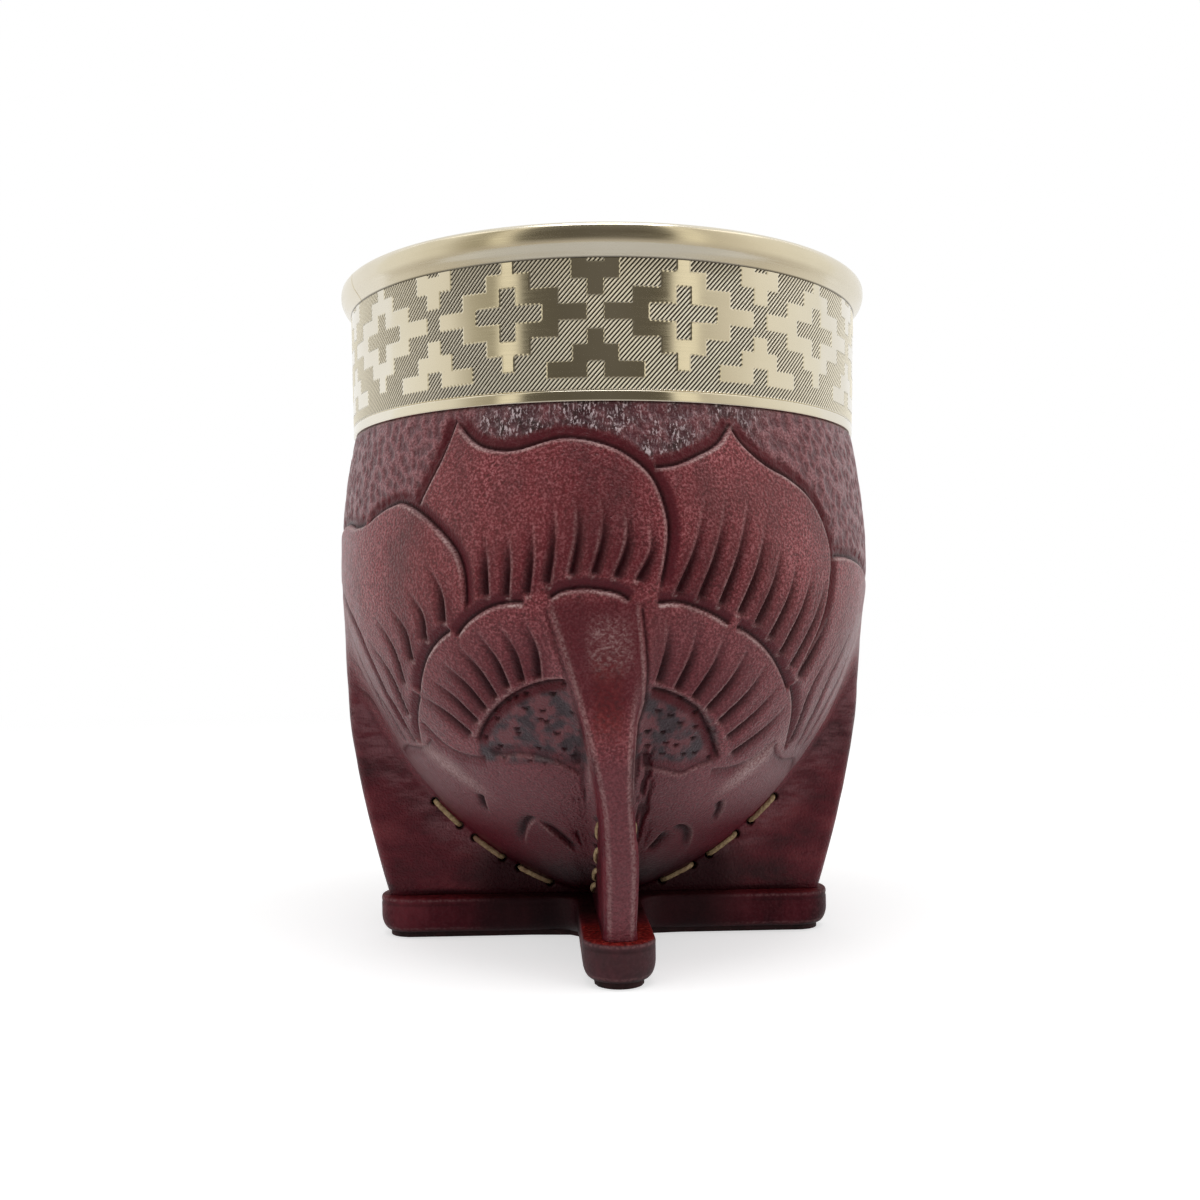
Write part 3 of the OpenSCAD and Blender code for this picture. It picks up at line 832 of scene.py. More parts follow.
def vein_profile(steep_left):
    """A vein is deepest at its start, with a steep side and a gentle one."""
    def profile(distance, left, share, rise):
        steep = left == steep_left
        run = ease(share, -0.02, 0.06) * (1.0 - ease(share, 0.2, 1.05))
        width = VEIN_SLOPE[0] + (VEIN_SLOPE[1] - VEIN_SLOPE[0]) * share
        gentle = np.clip(1.0 - distance / width, 0.0, 1.0)
        wall = np.clip(1.0 - distance / VEIN_WALL, 0.0, 1.0)
        depth = VEIN_DEPTH * run * np.where(steep, wall, gentle ** 1.5)
        # painted highlights: a glint at the vein's start and a line along its steep side
        glint = 0.5 * (share <= 0.0) * stripe(distance, 0.3, 0.3)
        rim = np.maximum(0.26 * run ** 0.5 * stripe(distance, 0.4, 0.35) * steep, glint)
        bevel = 0.62 * run * ease(distance, 2.8, 0.6)
        # dark: dye in the vein, and painted shade along its wall and down its gentle slope
        dark = 0.95 * run ** 0.7 * np.where(steep, wall, ease(gentle, 0.2, 0.9))
        return depth, rim, bevel, dark
    return profile


def leaf_profile(distance, left, share, rise):
    """A plain cut, steep on its left."""
    run = ease(share, 0.0, 0.2) * ease(share, 1.0, 0.6)
    gentle = np.clip(1.0 - distance / LEAF_SLOPE, 0.0, 1.0)
    wall = np.clip(1.0 - distance / LEAF_WALL, 0.0, 1.0)
    shape = np.where(left, wall, gentle ** 1.5)
    depth = LEAF_DEPTH * run * shape
    # painted highlight along the leaf's steep side
    rim = 0.3 * run * stripe(distance, 0.5, 0.4) * left
    bevel = 0.5 * run * gentle * ~left
    # dark: dye in the cut, and painted shade along its wall and its slope
    dark = run * np.where(left, wall, ease(gentle, 0.1, 0.8))
    return depth, rim, bevel, dark


def vein_paths():
    """Paths of all the veins, each with whether its steep side is on the left."""
    for starts, ends, count, bow, side in FANS:
        for share in np.linspace(0.0, 1.0, count):
            a = at_share(starts, share)
            b = at_share(ends, share)
            bend = np.array([bow[0] + (bow[1] - bow[0]) * share, 0.0])
            steep_left = side == "left" or (side == "middle" and share > 0.5)
            yield [a, (a + b) / 2 + bend, b], steep_left


def flower(phi, z):
    """Depth of the tooling, and masks of painted highlights on the rims, bevels, dark lines of dye and
    painted shade, the matted ground and the disc.
    """
    tooling = [np.zeros(phi.shape) for _ in range(4)]
    for points in EDGES:
        cut(tooling, phi, z, points, edge_profile(1.0))
    for points in FAINT_EDGES:
        cut(tooling, phi, z, points, edge_profile(FAINT))
    for points, steep_left in vein_paths():
        cut(tooling, phi, z, points, vein_profile(steep_left))
    for points in LEAVES:
        cut(tooling, phi, z, points, leaf_profile)
    depth, rim, bevel, dark = tooling
    top = np.array(FLOWER_TOP)
    matted = ease(z - np.interp(phi, top[:, 0], top[:, 1]), 0.3, 1.4)
    inner = 1.0 - np.hypot((phi - DISC_MIDDLE[0]) / DISC_HALF[0], (z - DISC_MIDDLE[1]) / DISC_HALF[1])
    disc = ease(inner, 0.0, 0.05) * ease(z, 31.0, 32.0)
    return depth, rim, bevel, dark, matted, disc


# Leather sleeve

FRONT_COLUMNS = 172
BACK_COLUMNS = 84
ROW_STEP = 0.24
LOW_ROW_STEP = 0.14
TUCK = 0.9                        # how far below the band the tooled rows end
LEG_LEAN = 3.0
# Where the sides of the front leg meet the body: height, then how far to the side on its left and right
BORDERS = [(28.0, -4.6, 2.1), (33.3, -5.0, 2.2), (37.5, -5.5, 2.3), (40.7, -6.2, 3.3), (45.0, -7.5, 3.3),
           (49.0, -8.7, 3.0), (53.5, -10.1, 2.5)]


def leather_heights():
    """Heights of the rows of the leather, closer together under the belly where it runs nearly level."""
    z = SOLE_Z
    rows = []
    while z < NECK_Z - TUCK:
        rows.append(z)
        z += LOW_ROW_STEP + (ROW_STEP - LOW_ROW_STEP) * float(ease(z, 8.0, 30.0))
    return np.array(rows)


def leg_lean(theta, z):
    """How many degrees the front leg leans to the left on its way up."""
    return -LEG_LEAN * ease(z, 14.0, 46.0) * ease(np.abs(theta), 38.0, 12.0)


def seam_curve():
    """Heights along a leg's seam and the length of thread to each, from its lowest hole."""
    z = np.linspace(SEAM_Z0, SEAM_Z0 + 30.0, 400)
    r = body_r(z) + SEAM_OUT
    run = np.concatenate([[0.0], np.cumsum(np.hypot(np.diff(z), np.diff(r)))])
    return z, run


def stitch_ends(count):
    """Places (radius, height) of the two holes of each stitch of a leg."""
    z, run = seam_curve()
    place = SEAM_LENGTH / count
    for i in range(count):
        start = place * (i + (1.0 - STITCH_SHARE) / 2)
        heights = np.interp([start, start + place * STITCH_SHARE], run, z)
        yield np.stack([body_r(heights) + SEAM_OUT, heights], axis=-1)


def leg_side(radius, z):
    """Half the thickness of a leg at a radius and a height."""
    low = 0.0
    high = 12.0
    shape = leg_shape(np.array(z))
    for _ in range(24):
        mid = (low + high) / 2
        out = outside(np.hypot(radius, mid), np.arctan2(mid, radius), shape) > 0
        low, high = (low, mid) if out else (mid, high)
    return (low + high) / 2


def back_places():
    """Middle height of each stitch up the back."""
    pitch = (NECK_Z - BACK_Z0) / BACK_STITCHES
    return BACK_Z0 + pitch * (np.arange(BACK_STITCHES) + 0.5)


def back_frame(z):
    """Middle, direction and outward normal of a stitch up the back."""
    slope = float(body_r(z + 1.0) - body_r(z - 1.0)) / 2
    up = np.array([0.0, slope, 1.0]) / np.hypot(1.0, slope)
    normal = np.array([0.0, 1.0, -slope]) / np.hypot(1.0, slope)
    slant = np.radians(BACK_SLANT)
    way = np.array([-np.cos(slant), 0.0, 0.0]) + np.sin(slant) * up
    return np.array([0.0, float(body_r(z)), z]), way, normal


def leg_axes(leg):
    """Directions along a leg, away from the cup's axis, and across it."""
    a = np.radians(LEG_ANGLES[leg])
    return np.array([np.sin(a), -np.cos(a), 0.0]), np.array([np.cos(a), np.sin(a), 0.0])


HOLE_R = 0.8
HOLE_DEPTH = 1.5
HOLE_REACH = 9.0                  # more than half of any leg's thickness
BACK_HOLE_R = 1.6


def press_holes(points, hole):
    """Presses the stitch holes into the leather, and marks where painted shade darkens them."""
    for leg, count in LEG_STITCHES.items():
        out, across = leg_axes(leg)
        along = points @ out
        offset = points @ across
        on_leg = (np.abs(offset) < HOLE_REACH) & (along > 0)
        for radius, z in np.vstack(list(stitch_ends(count))):
            distance = np.hypot(along - radius, points[..., 2] - z)
            inside = (distance < HOLE_R) & (np.abs(offset) < leg_side(radius, z) + 2.0)
            depth = HOLE_DEPTH * ease(distance, HOLE_R, 0.35 * HOLE_R) * inside
            points -= (np.sign(offset) * depth)[..., None] * across
            # painted shade in and round each of the legs' stitch holes
            hole[:] = np.maximum(hole, ease(distance, 1.25 * HOLE_R, 0.5 * HOLE_R) * on_leg)
    for z in back_places():
        middle, way, normal = back_frame(z)
        for end in (-0.5, 0.5):
            centre = middle + end * BACK_SPAN * way
            distance = np.linalg.norm(points - centre, axis=-1)
            points -= (HOLE_DEPTH * ease(distance, BACK_HOLE_R, 0.3))[..., None] * normal
            hole[:] = np.maximum(hole, ease(distance, 1.5, 0.6))


class SleeveGrid:
    """Places on the sleeve before it is tooled, and masks of its legs.

    front covers both the front and the back, and ahead the front alone. phi repeats the front's angles
    on the back.
    """

    def __init__(self):
        rows = leather_heights()
        counts = [BACK_COLUMNS] * 2 + [FRONT_COLUMNS] * 4 + [BACK_COLUMNS] * 2
        theta, self.radius = outline_rows(leg_shape(rows), counts)
        self.theta = theta + leg_lean(theta, rows[:, None])
        self.z = rows[:, None] + 0.0 * theta
        self.points = round_place(self.theta, self.radius, self.z)
        self.normals = grid_normals(self.points)
        self.sideways = np.abs(self.normals[..., 0])
        mirrored = 180.0 * np.sign(self.theta) - self.theta
        self.phi = np.where(np.abs(self.theta) <= 90.0, self.theta, mirrored)
        self.arc_x = self.theta * DEGREE
        self.offset = self.radius * np.sin(np.radians(self.phi))
        self.proud = self.radius - body_r(self.z)
        self.leg = ease(self.proud, 0.4, 2.0)
        self.body = 1.0 - self.leg
        self.tooled = self.body + self.leg * ease(self.z, 50.0, 55.0)
        self.front = ease(np.abs(self.phi), 40.0, 28.0)
        self.ahead = self.front * (np.abs(self.theta) < 90.0)
        self.side_leg = self.leg * (1.0 - self.front) * ease(self.z, 52.0, 38.0)

    def past_borders(self):
        """How far a place is past the left and the right border of the front leg."""
        heights, left, right = np.array(BORDERS).T
        return np.interp(self.z, heights, left) - self.offset, self.offset - np.interp(self.z, heights, right)

    def noise(self, width, height, seed):
        return noise(self.arc_x / width, self.z / height, seed)


def ground_dents(g):
    """Dents of the matted ground, in crooked rows."""
    crooked = g.arc_x / 1.7 + 0.3 * g.noise(2.0, 2.0, 3)
    return ease(cells(crooked, g.z / 1.9 + g.arc_x / 5.0, 11), 0.62, 0.12)


def disc_dashes(g):
    """Short curved dashes, as they are stamped over the disc."""
    x, z = scattered(g.arc_x / 3.2, g.z / 2.4, 23)
    return ease(np.hypot(x / 0.17, (z - 3.0 * x**2) / 0.07), 1.4, 0.7)


def back_joint(g):
    """The line up the back where the sleeve's edges meet."""
    return ease(np.abs(np.abs(g.theta) - 180.0) * DEGREE, 0.8, 0.1) * ease(g.z, 55.0, 60.0)


def fold_creases(g):
    """Creases of the leather beside the front leg."""
    to_left, to_right = g.past_borders()
    beside = np.maximum(ease(np.abs(to_right - 1.6), 2.0, 0.6), ease(np.abs(to_left - 0.8), 1.2, 0.4))
    return beside * hill(g.z, 17.0, 20.0, 32.0, 36.0) * g.ahead * ease(g.noise(0.6, 2.0, 47), 0.1, 0.5)


def leg_border(g):
    """The line cut round the front leg, and a painted highlight on the raised strip inside it."""
    to_left, to_right = g.past_borders()
    along = g.ahead * hill(g.z, 25.0, 30.0, 53.0, 55.0)
    line = along * np.maximum(0.6 * stripe(to_left, 0.4, 0.6), stripe(to_right, 0.3, 0.45))
    # painted highlight on the raised strip just inside the cut line
    ridge_highlight = along * np.maximum(0.25 * stripe(to_left, -0.5, 0.6), 0.35 * stripe(to_right, -0.4, 0.4))
    return line, ridge_highlight


def hip_highlights(g):
    """Painted highlights low on the body, where it turns in on both sides."""
    low = g.z - 30.0
    left = ease(np.hypot((g.phi + 48.0 + 2.0 * low) / 7.0, low / 6.0), 1.0, 0.1)
    right = ease(np.hypot((g.phi - 38.0 - 1.7 * low) / 6.0, low / 6.0), 1.0, 0.1)
    return 0.5 * g.body * np.maximum(left, right)


def leg_edge_highlights(g):
    """Painted highlights on the rounded edges of the front leg."""
    edge = 0.24 * g.leg * g.ahead * ease(np.abs(g.sideways - 0.5), 0.3, 0.1)
    return edge * ease(g.z, 45.0, 36.0) * ease(g.z, SOLE_Z, SOLE_Z + 2.0)


def painted_low_shade(g):
    """Painted shade where the legs meet in the middle, and along the sole."""
    corner = 0.95 * ease(g.z, 18.0, 11.5) * ease(g.radius, 27.0, 18.0)
    along_sole = 0.9 * ease(g.z, SOLE_Z + 1.3, SOLE_Z + 0.4) * ease(g.radius, 37.0, 29.0)
    return np.maximum(corner, along_sole)


def leg_looks(g):
    """Masks on the legs: red middle, a painted highlight on the wrinkle lines at the top, darker top, painted
    shade on the flanks, and a painted sheen on the folds at the seams.
    """
    to_left, to_right = g.past_borders()
    within = g.ahead * ease(to_left, 0.2, -0.6) * ease(to_right, 0.2, -0.6)
    red = 0.85 * g.leg * g.front * g.ahead * hill(g.z, 33.0, 40.0, 47.0, 50.0)
    # painted highlight, broken into wrinkle lines in the material
    wrinkle_highlight = 0.36 * g.ahead * hill(g.z, 43.0, 48.0, 50.0, 54.0)
    return {
        "worn": red * ease(np.abs(g.offset + 2.0), 3.0, 1.2),
        "wrinkle_highlight": wrinkle_highlight * ease(np.abs(g.offset + 1.6), 4.2, 1.5),
        "top": 0.65 * within * hill(g.z, 36.0, 42.0, 54.0, 55.5),
        # painted shade on the front leg's flanks, where they face sideways
        "flank_shade": g.leg * g.front * ease(g.sideways, 0.35, 0.75) * ease(g.z, 44.0, 36.0),
        # painted sheen on the folds at the seams of the side legs
        "seam": g.side_leg * hill(g.proud, 1.0, 2.5, 3.0, 10.0),
    }


def sleeve_marks(g):
    """Depth of all that is pressed into the sleeve, and the named values that colour it."""
    depth, rim, bevel, dark, matted, disc = flower(g.phi, g.z)
    disc = disc * g.body
    dents = ground_dents(g)
    dashes = disc * disc_dashes(g)
    closing = back_joint(g)
    creases = fold_creases(g)
    border, ridge_highlight = leg_border(g)
    depth = depth + matted * (GROUND_DEPTH + GROUND_DENT * dents)
    depth = depth + disc * (DISC_DEPTH + DISC_DENT * g.noise(1.5, 1.3, 25)) + DASH_DEPTH * dashes
    depth = depth * g.tooled + CLOSING_DEPTH * closing
    depth = depth + CREASE_DEPTH * creases + BORDER_DEPTH * border
    depth = depth - 0.12 * g.noise(9.0, 9.0, 5) - 0.05 * g.noise(3.0, 3.0, 6)
    depth = depth * ease(g.z, SOLE_Z, SOLE_Z + 1.0)

    looks = leg_looks(g)
    # painted highlights along the tooled rims, gathered with those on the leg's border, the hips and the
    # leg's edges
    rubbed = rim * g.tooled * (0.75 + 0.5 * g.noise(3.0, 3.0, 7))
    pale = np.maximum.reduce([rubbed, ridge_highlight, hip_highlights(g), leg_edge_highlights(g)])
    bottom = 0.85 * g.body * ease(g.z, 28.0, 18.0)
    bevelled = bevel * g.tooled
    # dark lines: dye in the tooled cuts, stamped dashes and the back joint, with painted shade in the cuts,
    # the creases beside the leg and where the legs meet
    lines = [dark * g.tooled, closing, 0.9 * dashes, 0.8 * creases, 0.9 * border, painted_low_shade(g)]
    cuts = np.maximum.reduce(lines)
    leg_top = looks.pop("top")
    flank_shade = looks.pop("flank_shade")
    matt = [0.65 * g.side_leg, flank_shade, cuts, 0.7 * bevelled, bottom, 0.7 * leg_top]
    return depth, looks | {
        "cut": cuts,
        # painted highlights, laid in a pale tone
        "rim": np.clip(pale, 0.0, 1.0),
        "bevel": np.maximum.reduce([bevelled, bottom, leg_top]),
        "matted": matted * g.body * (1.0 - bevel),
        "dent": 0.7 * dents,
        "disc": disc,
        # where the ground's pale strokes, painted highlights, are laid
        "brushed": ease(np.abs(g.phi), 36.0, 22.0),
        "smooth": np.maximum(ease(g.z, 36.0, 31.0), 0.5 * ease(g.z, 57.0, 48.0)),
        # leg tones: the side legs, and painted shade on the front leg's flanks
        "leg": np.maximum(g.side_leg, flank_shade),
        "matt": np.maximum.reduce(matt),
    }


def sleeve_inside(theta):
    """Rows that carry the sleeve on under the band and down its hidden side."""
    middle_r = (NECK_R + UNDER_BAND_R) / 2
    inner_r = UNDER_BAND_R - LEATHER_T
    tucked = [(NECK_R - 0.1, NECK_Z - TUCK / 2), (middle_r, NECK_Z - 0.1), (UNDER_BAND_R, NECK_Z),
              (UNDER_BAND_R, LEATHER_TOP_Z), (inner_r, LEATHER_TOP_Z), (inner_r, NECK_Z + 1.0)]
    room = np.linspace(NECK_Z - 3.0, BODY_Z0 + LEATHER_T + 0.05, 24)
    return rings(theta, tucked + body_curve(room, LEATHER_T, LEATHER_T))


def leather_sleeve():
    g = SleeveGrid()
    depth, values = sleeve_marks(g)
    points = g.points - g.normals * depth[..., None]
    values["hole"] = np.zeros(g.z.shape)
    press_holes(points, values["hole"])
    hidden = sleeve_inside(g.theta[-1])
    grid = np.vstack([points, hidden])
    values = {k: np.vstack([v, np.repeat(v[-1:], len(hidden), axis=0)]) for k, v in values.items()}
    last = (0, 0, hidden[-1, 0, 2])
    piece = skin_object("leather_sleeve", grid, start=(0, 0, SOLE_Z), end=last, values=values)
    finish_piece(piece, leather_material(), "leather", "leather_cover")


# Leather sole

SOLE_COLUMNS = 84
SOLE_MIDDLE = 0.4                 # how far the innermost row stays from the middle of an arm
GROOVE_DROP = 1.15                # how far below the top a groove runs round the edge
CREST_DROP = 0.45                 # and the pale line above it, a painted highlight


def sole_rows():
    """Heights of the sole's rows and how far each is drawn in, from the middle below to the middle on top."""
    inner = ARM_W / 2 - SOLE_MIDDLE
    round_top = PAD_T + ROUND_SHARE * SOLE_T
    bevel_foot = SOLE_Z - SOLE_BEVEL
    turn = np.linspace(0.0, np.pi / 2, 13)
    below = [(PAD_T, inset) for inset in np.linspace(inner, EDGE_DRAW, 6)[:-1]]
    rounded = np.stack([PAD_T + ROUND_SHARE * SOLE_T * (1.0 - np.cos(turn)),
                        EDGE_DRAW * (1.0 - np.sin(turn))], axis=-1)
    upright = [(h, 0.0) for h in np.linspace(round_top, bevel_foot, 12)[1:]]
    corner = (SOLE_Z - 0.3 * SOLE_BEVEL, 0.3 * SOLE_BEVEL)
    bevel = smooth_path([(bevel_foot, 0.0), corner, (SOLE_Z, SOLE_BEVEL)], 0.15)[1:]
    on_top = [(SOLE_Z, inset) for inset in np.linspace(SOLE_BEVEL, inner, 13)[1:]]
    return np.vstack([below, rounded, upright, bevel, on_top]).T


def line_at(z, height):
    """A thin line round the sole at a height."""
    return ease(np.abs(z - height), 0.3, 0.05)


def cross_sole():
    rows, insets = sole_rows()
    theta, radius = outline_rows(sole_shape(insets), [SOLE_COLUMNS] * 8)
    z = rows[:, None] + 0.0 * theta
    points = round_place(theta, radius, z)
    x = points[..., 0]                # x and y follow the points when these are pressed in
    y = points[..., 1]
    top = ease(z, SOLE_Z - 0.3, SOLE_Z - 0.02)
    fuzz = noise(x / 0.5, y / 0.5, 61) + 0.7 * noise(x / 0.25, y / 0.25, 62)
    points[..., 2] += np.minimum(0.12 * top * fuzz, 0.0)
    groove = ease(np.abs(z - (SOLE_Z - GROOVE_DROP)), 0.35, 0.05)
    sides = 1.0 - ease(insets[:, None] + 0.0 * theta, EDGE_DRAW, EDGE_DRAW + 0.3)
    wavy = 0.10 * noise(x / 6.0, y / 6.0 + z / 3.0, 65) - 0.08 * groove
    points[..., :2] *= (1.0 + sides * (wavy - 0.1) / np.maximum(radius, 5.0))[..., None]

    # painted shade along the lowest strip of the edge, next to the pad
    foot = ease(z, PAD_T + 0.9, PAD_T)
    # painted highlight along the edge just above the groove
    crest_highlight = line_at(z, SOLE_Z - CREST_DROP) * sides
    dots = 0.5 * line_at(z, PAD_T + 0.7) * sides
    middle_shade = ease(np.hypot(x, y), 27.0, 17.0)
    values = {
        "suede": top * (0.3 + 0.7 * ease(y, -23.0, -27.0)),
        # painted shade: low on the edge, in the groove and in the middle of the top
        "dark": np.maximum.reduce([0.75 * foot * (1.0 - dots), 0.35 * groove, 0.8 * middle_shade]),
        "toe": 0.4 * ease(y, -26.0, -32.0),
        # painted highlight above the groove, and the dots near the pad
        "line": np.maximum(0.6 * crest_highlight, dots) * (1.0 - middle_shade),
    }
    piece = skin_object("cross_sole", points, (0, 0, PAD_T), (0, 0, SOLE_Z), values=values, sharp=50.0)
    finish_piece(piece, sole_material(), "sole", "base_sole")


# Ferrule

PITCH = 34.0                      # degrees from one diamond to the next
FIRST_DIAMOND = -21.6
ROW_V = 2.3                       # height of one row of the stepped figures
ROW_MIDDLE = 94.67
DIAMOND_STEPS = [11.3, 7.25, 3.35, 1.0]    # half widths of a diamond's rows, from its middle row out
PLUS_ARM = 4.95                   # half the length of the hatched cross in a diamond
PLUS_HALF = 1.1                   # half the width of its upright
UPPER_STEPS = [3.4, 1.25]         # half widths of the figures under the lip, from the top down
UPPER_NOTCH = 1.15
LOWER_STEPS = [0.0, 6.95, 3.3, 1.25]       # half widths of the figures over the border, from below
LOWER_NOTCH = 1.25
BORDER_ROWS = np.array([0.0, 0.08, 0.25, 0.8, 1.2, 1.42, 1.5, 1.58])    # above the band's lower edge
SCORE_Z = NECK_Z + 1.5            # the line scored round the band above its border
SCORE_DEPTH = 0.14
FOOT_DRAW = 0.1                   # how far the band's lower edge is drawn in
SEAM_DEPTH = 0.08
HATCH_W = 0.6385
HATCH_H = 0.71
HATCH_PHASES = 4                  # columns and rows for each line of the hatching
HATCH_Z0 = NECK_Z + 1.7
HATCH_FLOOR = 0.02
HATCH_CUT = 0.15


def raised_figures(theta, z):
    """True where the band is left polished: stepped diamonds and the half figures between them."""
    band_degree = np.pi / 180 * BAND_R
    dx = np.abs(((theta - FIRST_DIAMOND + PITCH / 2) % PITCH - PITCH / 2) * band_degree)
    mx = np.abs(((theta - FIRST_DIAMOND) % PITCH - PITCH / 2) * band_degree)
    row = (z - ROW_MIDDLE) / ROW_V
    steps = np.abs(row)
    diamond = np.select([steps <= n + 0.5 for n in range(4)], DIAMOND_STEPS, 0.0)
    plus = ((dx <= PLUS_ARM) & (steps <= 0.52)) | ((dx <= PLUS_HALF) & (steps <= 1.6))
    upper = np.select([row > 2.0, row > 1.0], UPPER_STEPS, 0.0)
    upper_notch = (mx <= UPPER_NOTCH) & (row > 3.0)
    lower = np.select([row < n for n in (-4.0, -3.0, -2.0, -1.0)], LOWER_STEPS, 0.0)
    lower_notch = (mx <= LOWER_NOTCH) & (row < -3.0)
    halves = ((mx <= upper) & ~upper_notch) | ((mx <= lower) & ~lower_notch)
    return ((dx <= diamond) & ~plus) | halves


def engraved_band():
    columns = int(round(2 * np.pi * BAND_R / HATCH_W)) * HATCH_PHASES
    step = HATCH_H / HATCH_PHASES
    lines = int(round((LIP_Z - HATCH_Z0) / step))
    rows = np.concatenate([NECK_Z + BORDER_ROWS, np.linspace(HATCH_Z0, LIP_Z, lines + 1)])
    column = np.arange(columns)[None, :]
    theta, z = np.broadcast_arrays(-180.0 + 360.0 * column / columns, rows[:, None])
    plain = BAND_FOOT_R + (BAND_R - BAND_FOOT_R) * (z - NECK_Z) / (LIP_Z - NECK_Z)
    hatched = (z > HATCH_Z0 - 0.01) & ~raised_figures(theta, z)
    line = np.round((z - HATCH_Z0) / step)
    phase = (column - line) % HATCH_PHASES / HATCH_PHASES
    groove = 1.0 * (phase >= 0.5)
    scored = ease(np.abs(z - SCORE_Z), 0.09, 0.0)
    edge = ease(z, NECK_Z + 0.12, NECK_Z)
    seam = ease(np.abs(np.abs(theta) - 180.0), 0.3, 0.05)
    depth = hatched * (HATCH_FLOOR + HATCH_CUT * groove)
    depth = depth + SCORE_DEPTH * scored + FOOT_DRAW * edge + SEAM_DEPTH * seam
    wavy = 0.012 * noise(theta / 7.0, z / 9.0, 71)
    outer = round_place(theta, plain - depth + wavy, z)
    back = rings(theta[0], [(BAND_R - BAND_WALL, LIP_Z), (BAND_FOOT_R - BAND_WALL, NECK_Z)])
    smooth_back = np.zeros(back.shape[:2])
    # values of the band: painted shade in the hatching's grooves, and where the ground is hatched
    values = {"hatch_shade": np.vstack([hatched * groove, smooth_back]),
              "hatched": np.vstack([1.0 * hatched, smooth_back])}
    piece = skin_object("engraved_band", np.vstack([outer, back]), closed=True, values=values, sharp=60.0)
    finish_piece(piece, band_material(), "band", "ferrule_band")


LIP_SEAM = -66.0                  # where the lip's ring is soldered shut
LIP_SEAM_DEPTH = 0.09


def lip_columns():
    even = np.linspace(-180.0, 180.0, 288, endpoint=False)
    close = LIP_SEAM + np.array([-0.35, -0.2, -0.1, 0.0, 0.1, 0.2, 0.35])
    return np.sort(np.concatenate([even[np.abs(even - LIP_SEAM) > 0.5], close]))


def lip_profile():
    """Radius and height round the lip's section, from the joint with the band over the top to the inside."""
    joint = [(BAND_R - JOINT, LIP_Z), (BAND_R - 0.3 * JOINT, LIP_Z + 0.07)]
    flare = [(BAND_R + 0.05, LIP_Z + 0.18), (BAND_R + 0.55, LIP_Z + 0.95), (LIP_R - 0.4, LIP_Z + 1.85)]
    bead = [(LIP_R - 0.1, TOP_Z - 2.2), (LIP_R, TOP_Z - 1.45), (LIP_R - 0.12, TOP_Z - 0.7),
            (LIP_R - 0.5, TOP_Z - 0.22), (LIP_R - 1.1, TOP_Z), (LIP_R - 2.0, TOP_Z - 0.08)]
    roll = smooth_path(flare + bead, 0.12)
    turn = (MOUTH_R + LIP_TURN, TOP_Z - LIP_DIP - LIP_TURN)
    mouth = arc(turn, LIP_TURN, 100.0, 180.0, 18)
    top = roll[-1] + (mouth[0] - roll[-1]) * np.linspace(0.0, 1.0, 8)[1:-1, None]
    sleeve_end = [(MOUTH_R, SLEEVE_Z), (MOUTH_R + SHEET, SLEEVE_Z)]
    under = arc(turn, LIP_TURN - SHEET, 180.0, 100.0, 8)
    wall = BAND_R - BAND_WALL
    inside = [(LIP_R - 2.4 * BEAD, TOP_Z - 1.5 * SHEET), (wall, LIP_Z + 1.6), (wall, LIP_Z)]
    return np.vstack([joint, roll, top, mouth, sleeve_end, under, inside])


def rolled_lip(polished):
    theta = lip_columns()
    dent = LIP_SEAM_DEPTH * ease(np.abs(theta - LIP_SEAM), 0.22, 0.0)
    piece = lathe("rolled_lip", lip_profile(), theta, dent=dent)
    finish_piece(piece, polished, "lip", "ferrule_lip")


SLEEVE_ROUND = 0.15               # radius of the sleeve's lower edge


def mouth_sleeve(polished):
    wall = [(MOUTH_R, z) for z in np.linspace(SLEEVE_Z, SLEEVE_Z0 + 0.4, 12)]
    rounded = arc((MOUTH_R + SLEEVE_ROUND, SLEEVE_Z0 + SLEEVE_ROUND), SLEEVE_ROUND, 180.0, 270.0, 5)
    outside_wall = [(MOUTH_R + SHEET, SLEEVE_Z0), (MOUTH_R + SHEET, SLEEVE_Z)]
    theta = np.linspace(-180.0, 180.0, 256, endpoint=False)
    piece = lathe("mouth_sleeve", np.vstack([wall, rounded, outside_wall]), theta)
    finish_piece(piece, polished, "lip", "ferrule_sleeve")


# Calabash

SKIN = LEATHER_T + GAP            # how far the calabash lies under the leather's outside
FLOOR_RISE = SKIN + GOURD_FLOOR
GOURD_LOW = BODY_Z0 + SKIN        # lowest point of its outside
CUP_LOW = BODY_Z0 + FLOOR_RISE    # lowest point of its inside


def bowl_heights(low):
    """Heights from a bowl's lowest point up to the belly, closer together below."""
    t = np.linspace(0.0, 1.0, 40)[1:]
    return low + (BELLY_Z - low) * (1.0 - np.cos(np.pi / 2 * t))


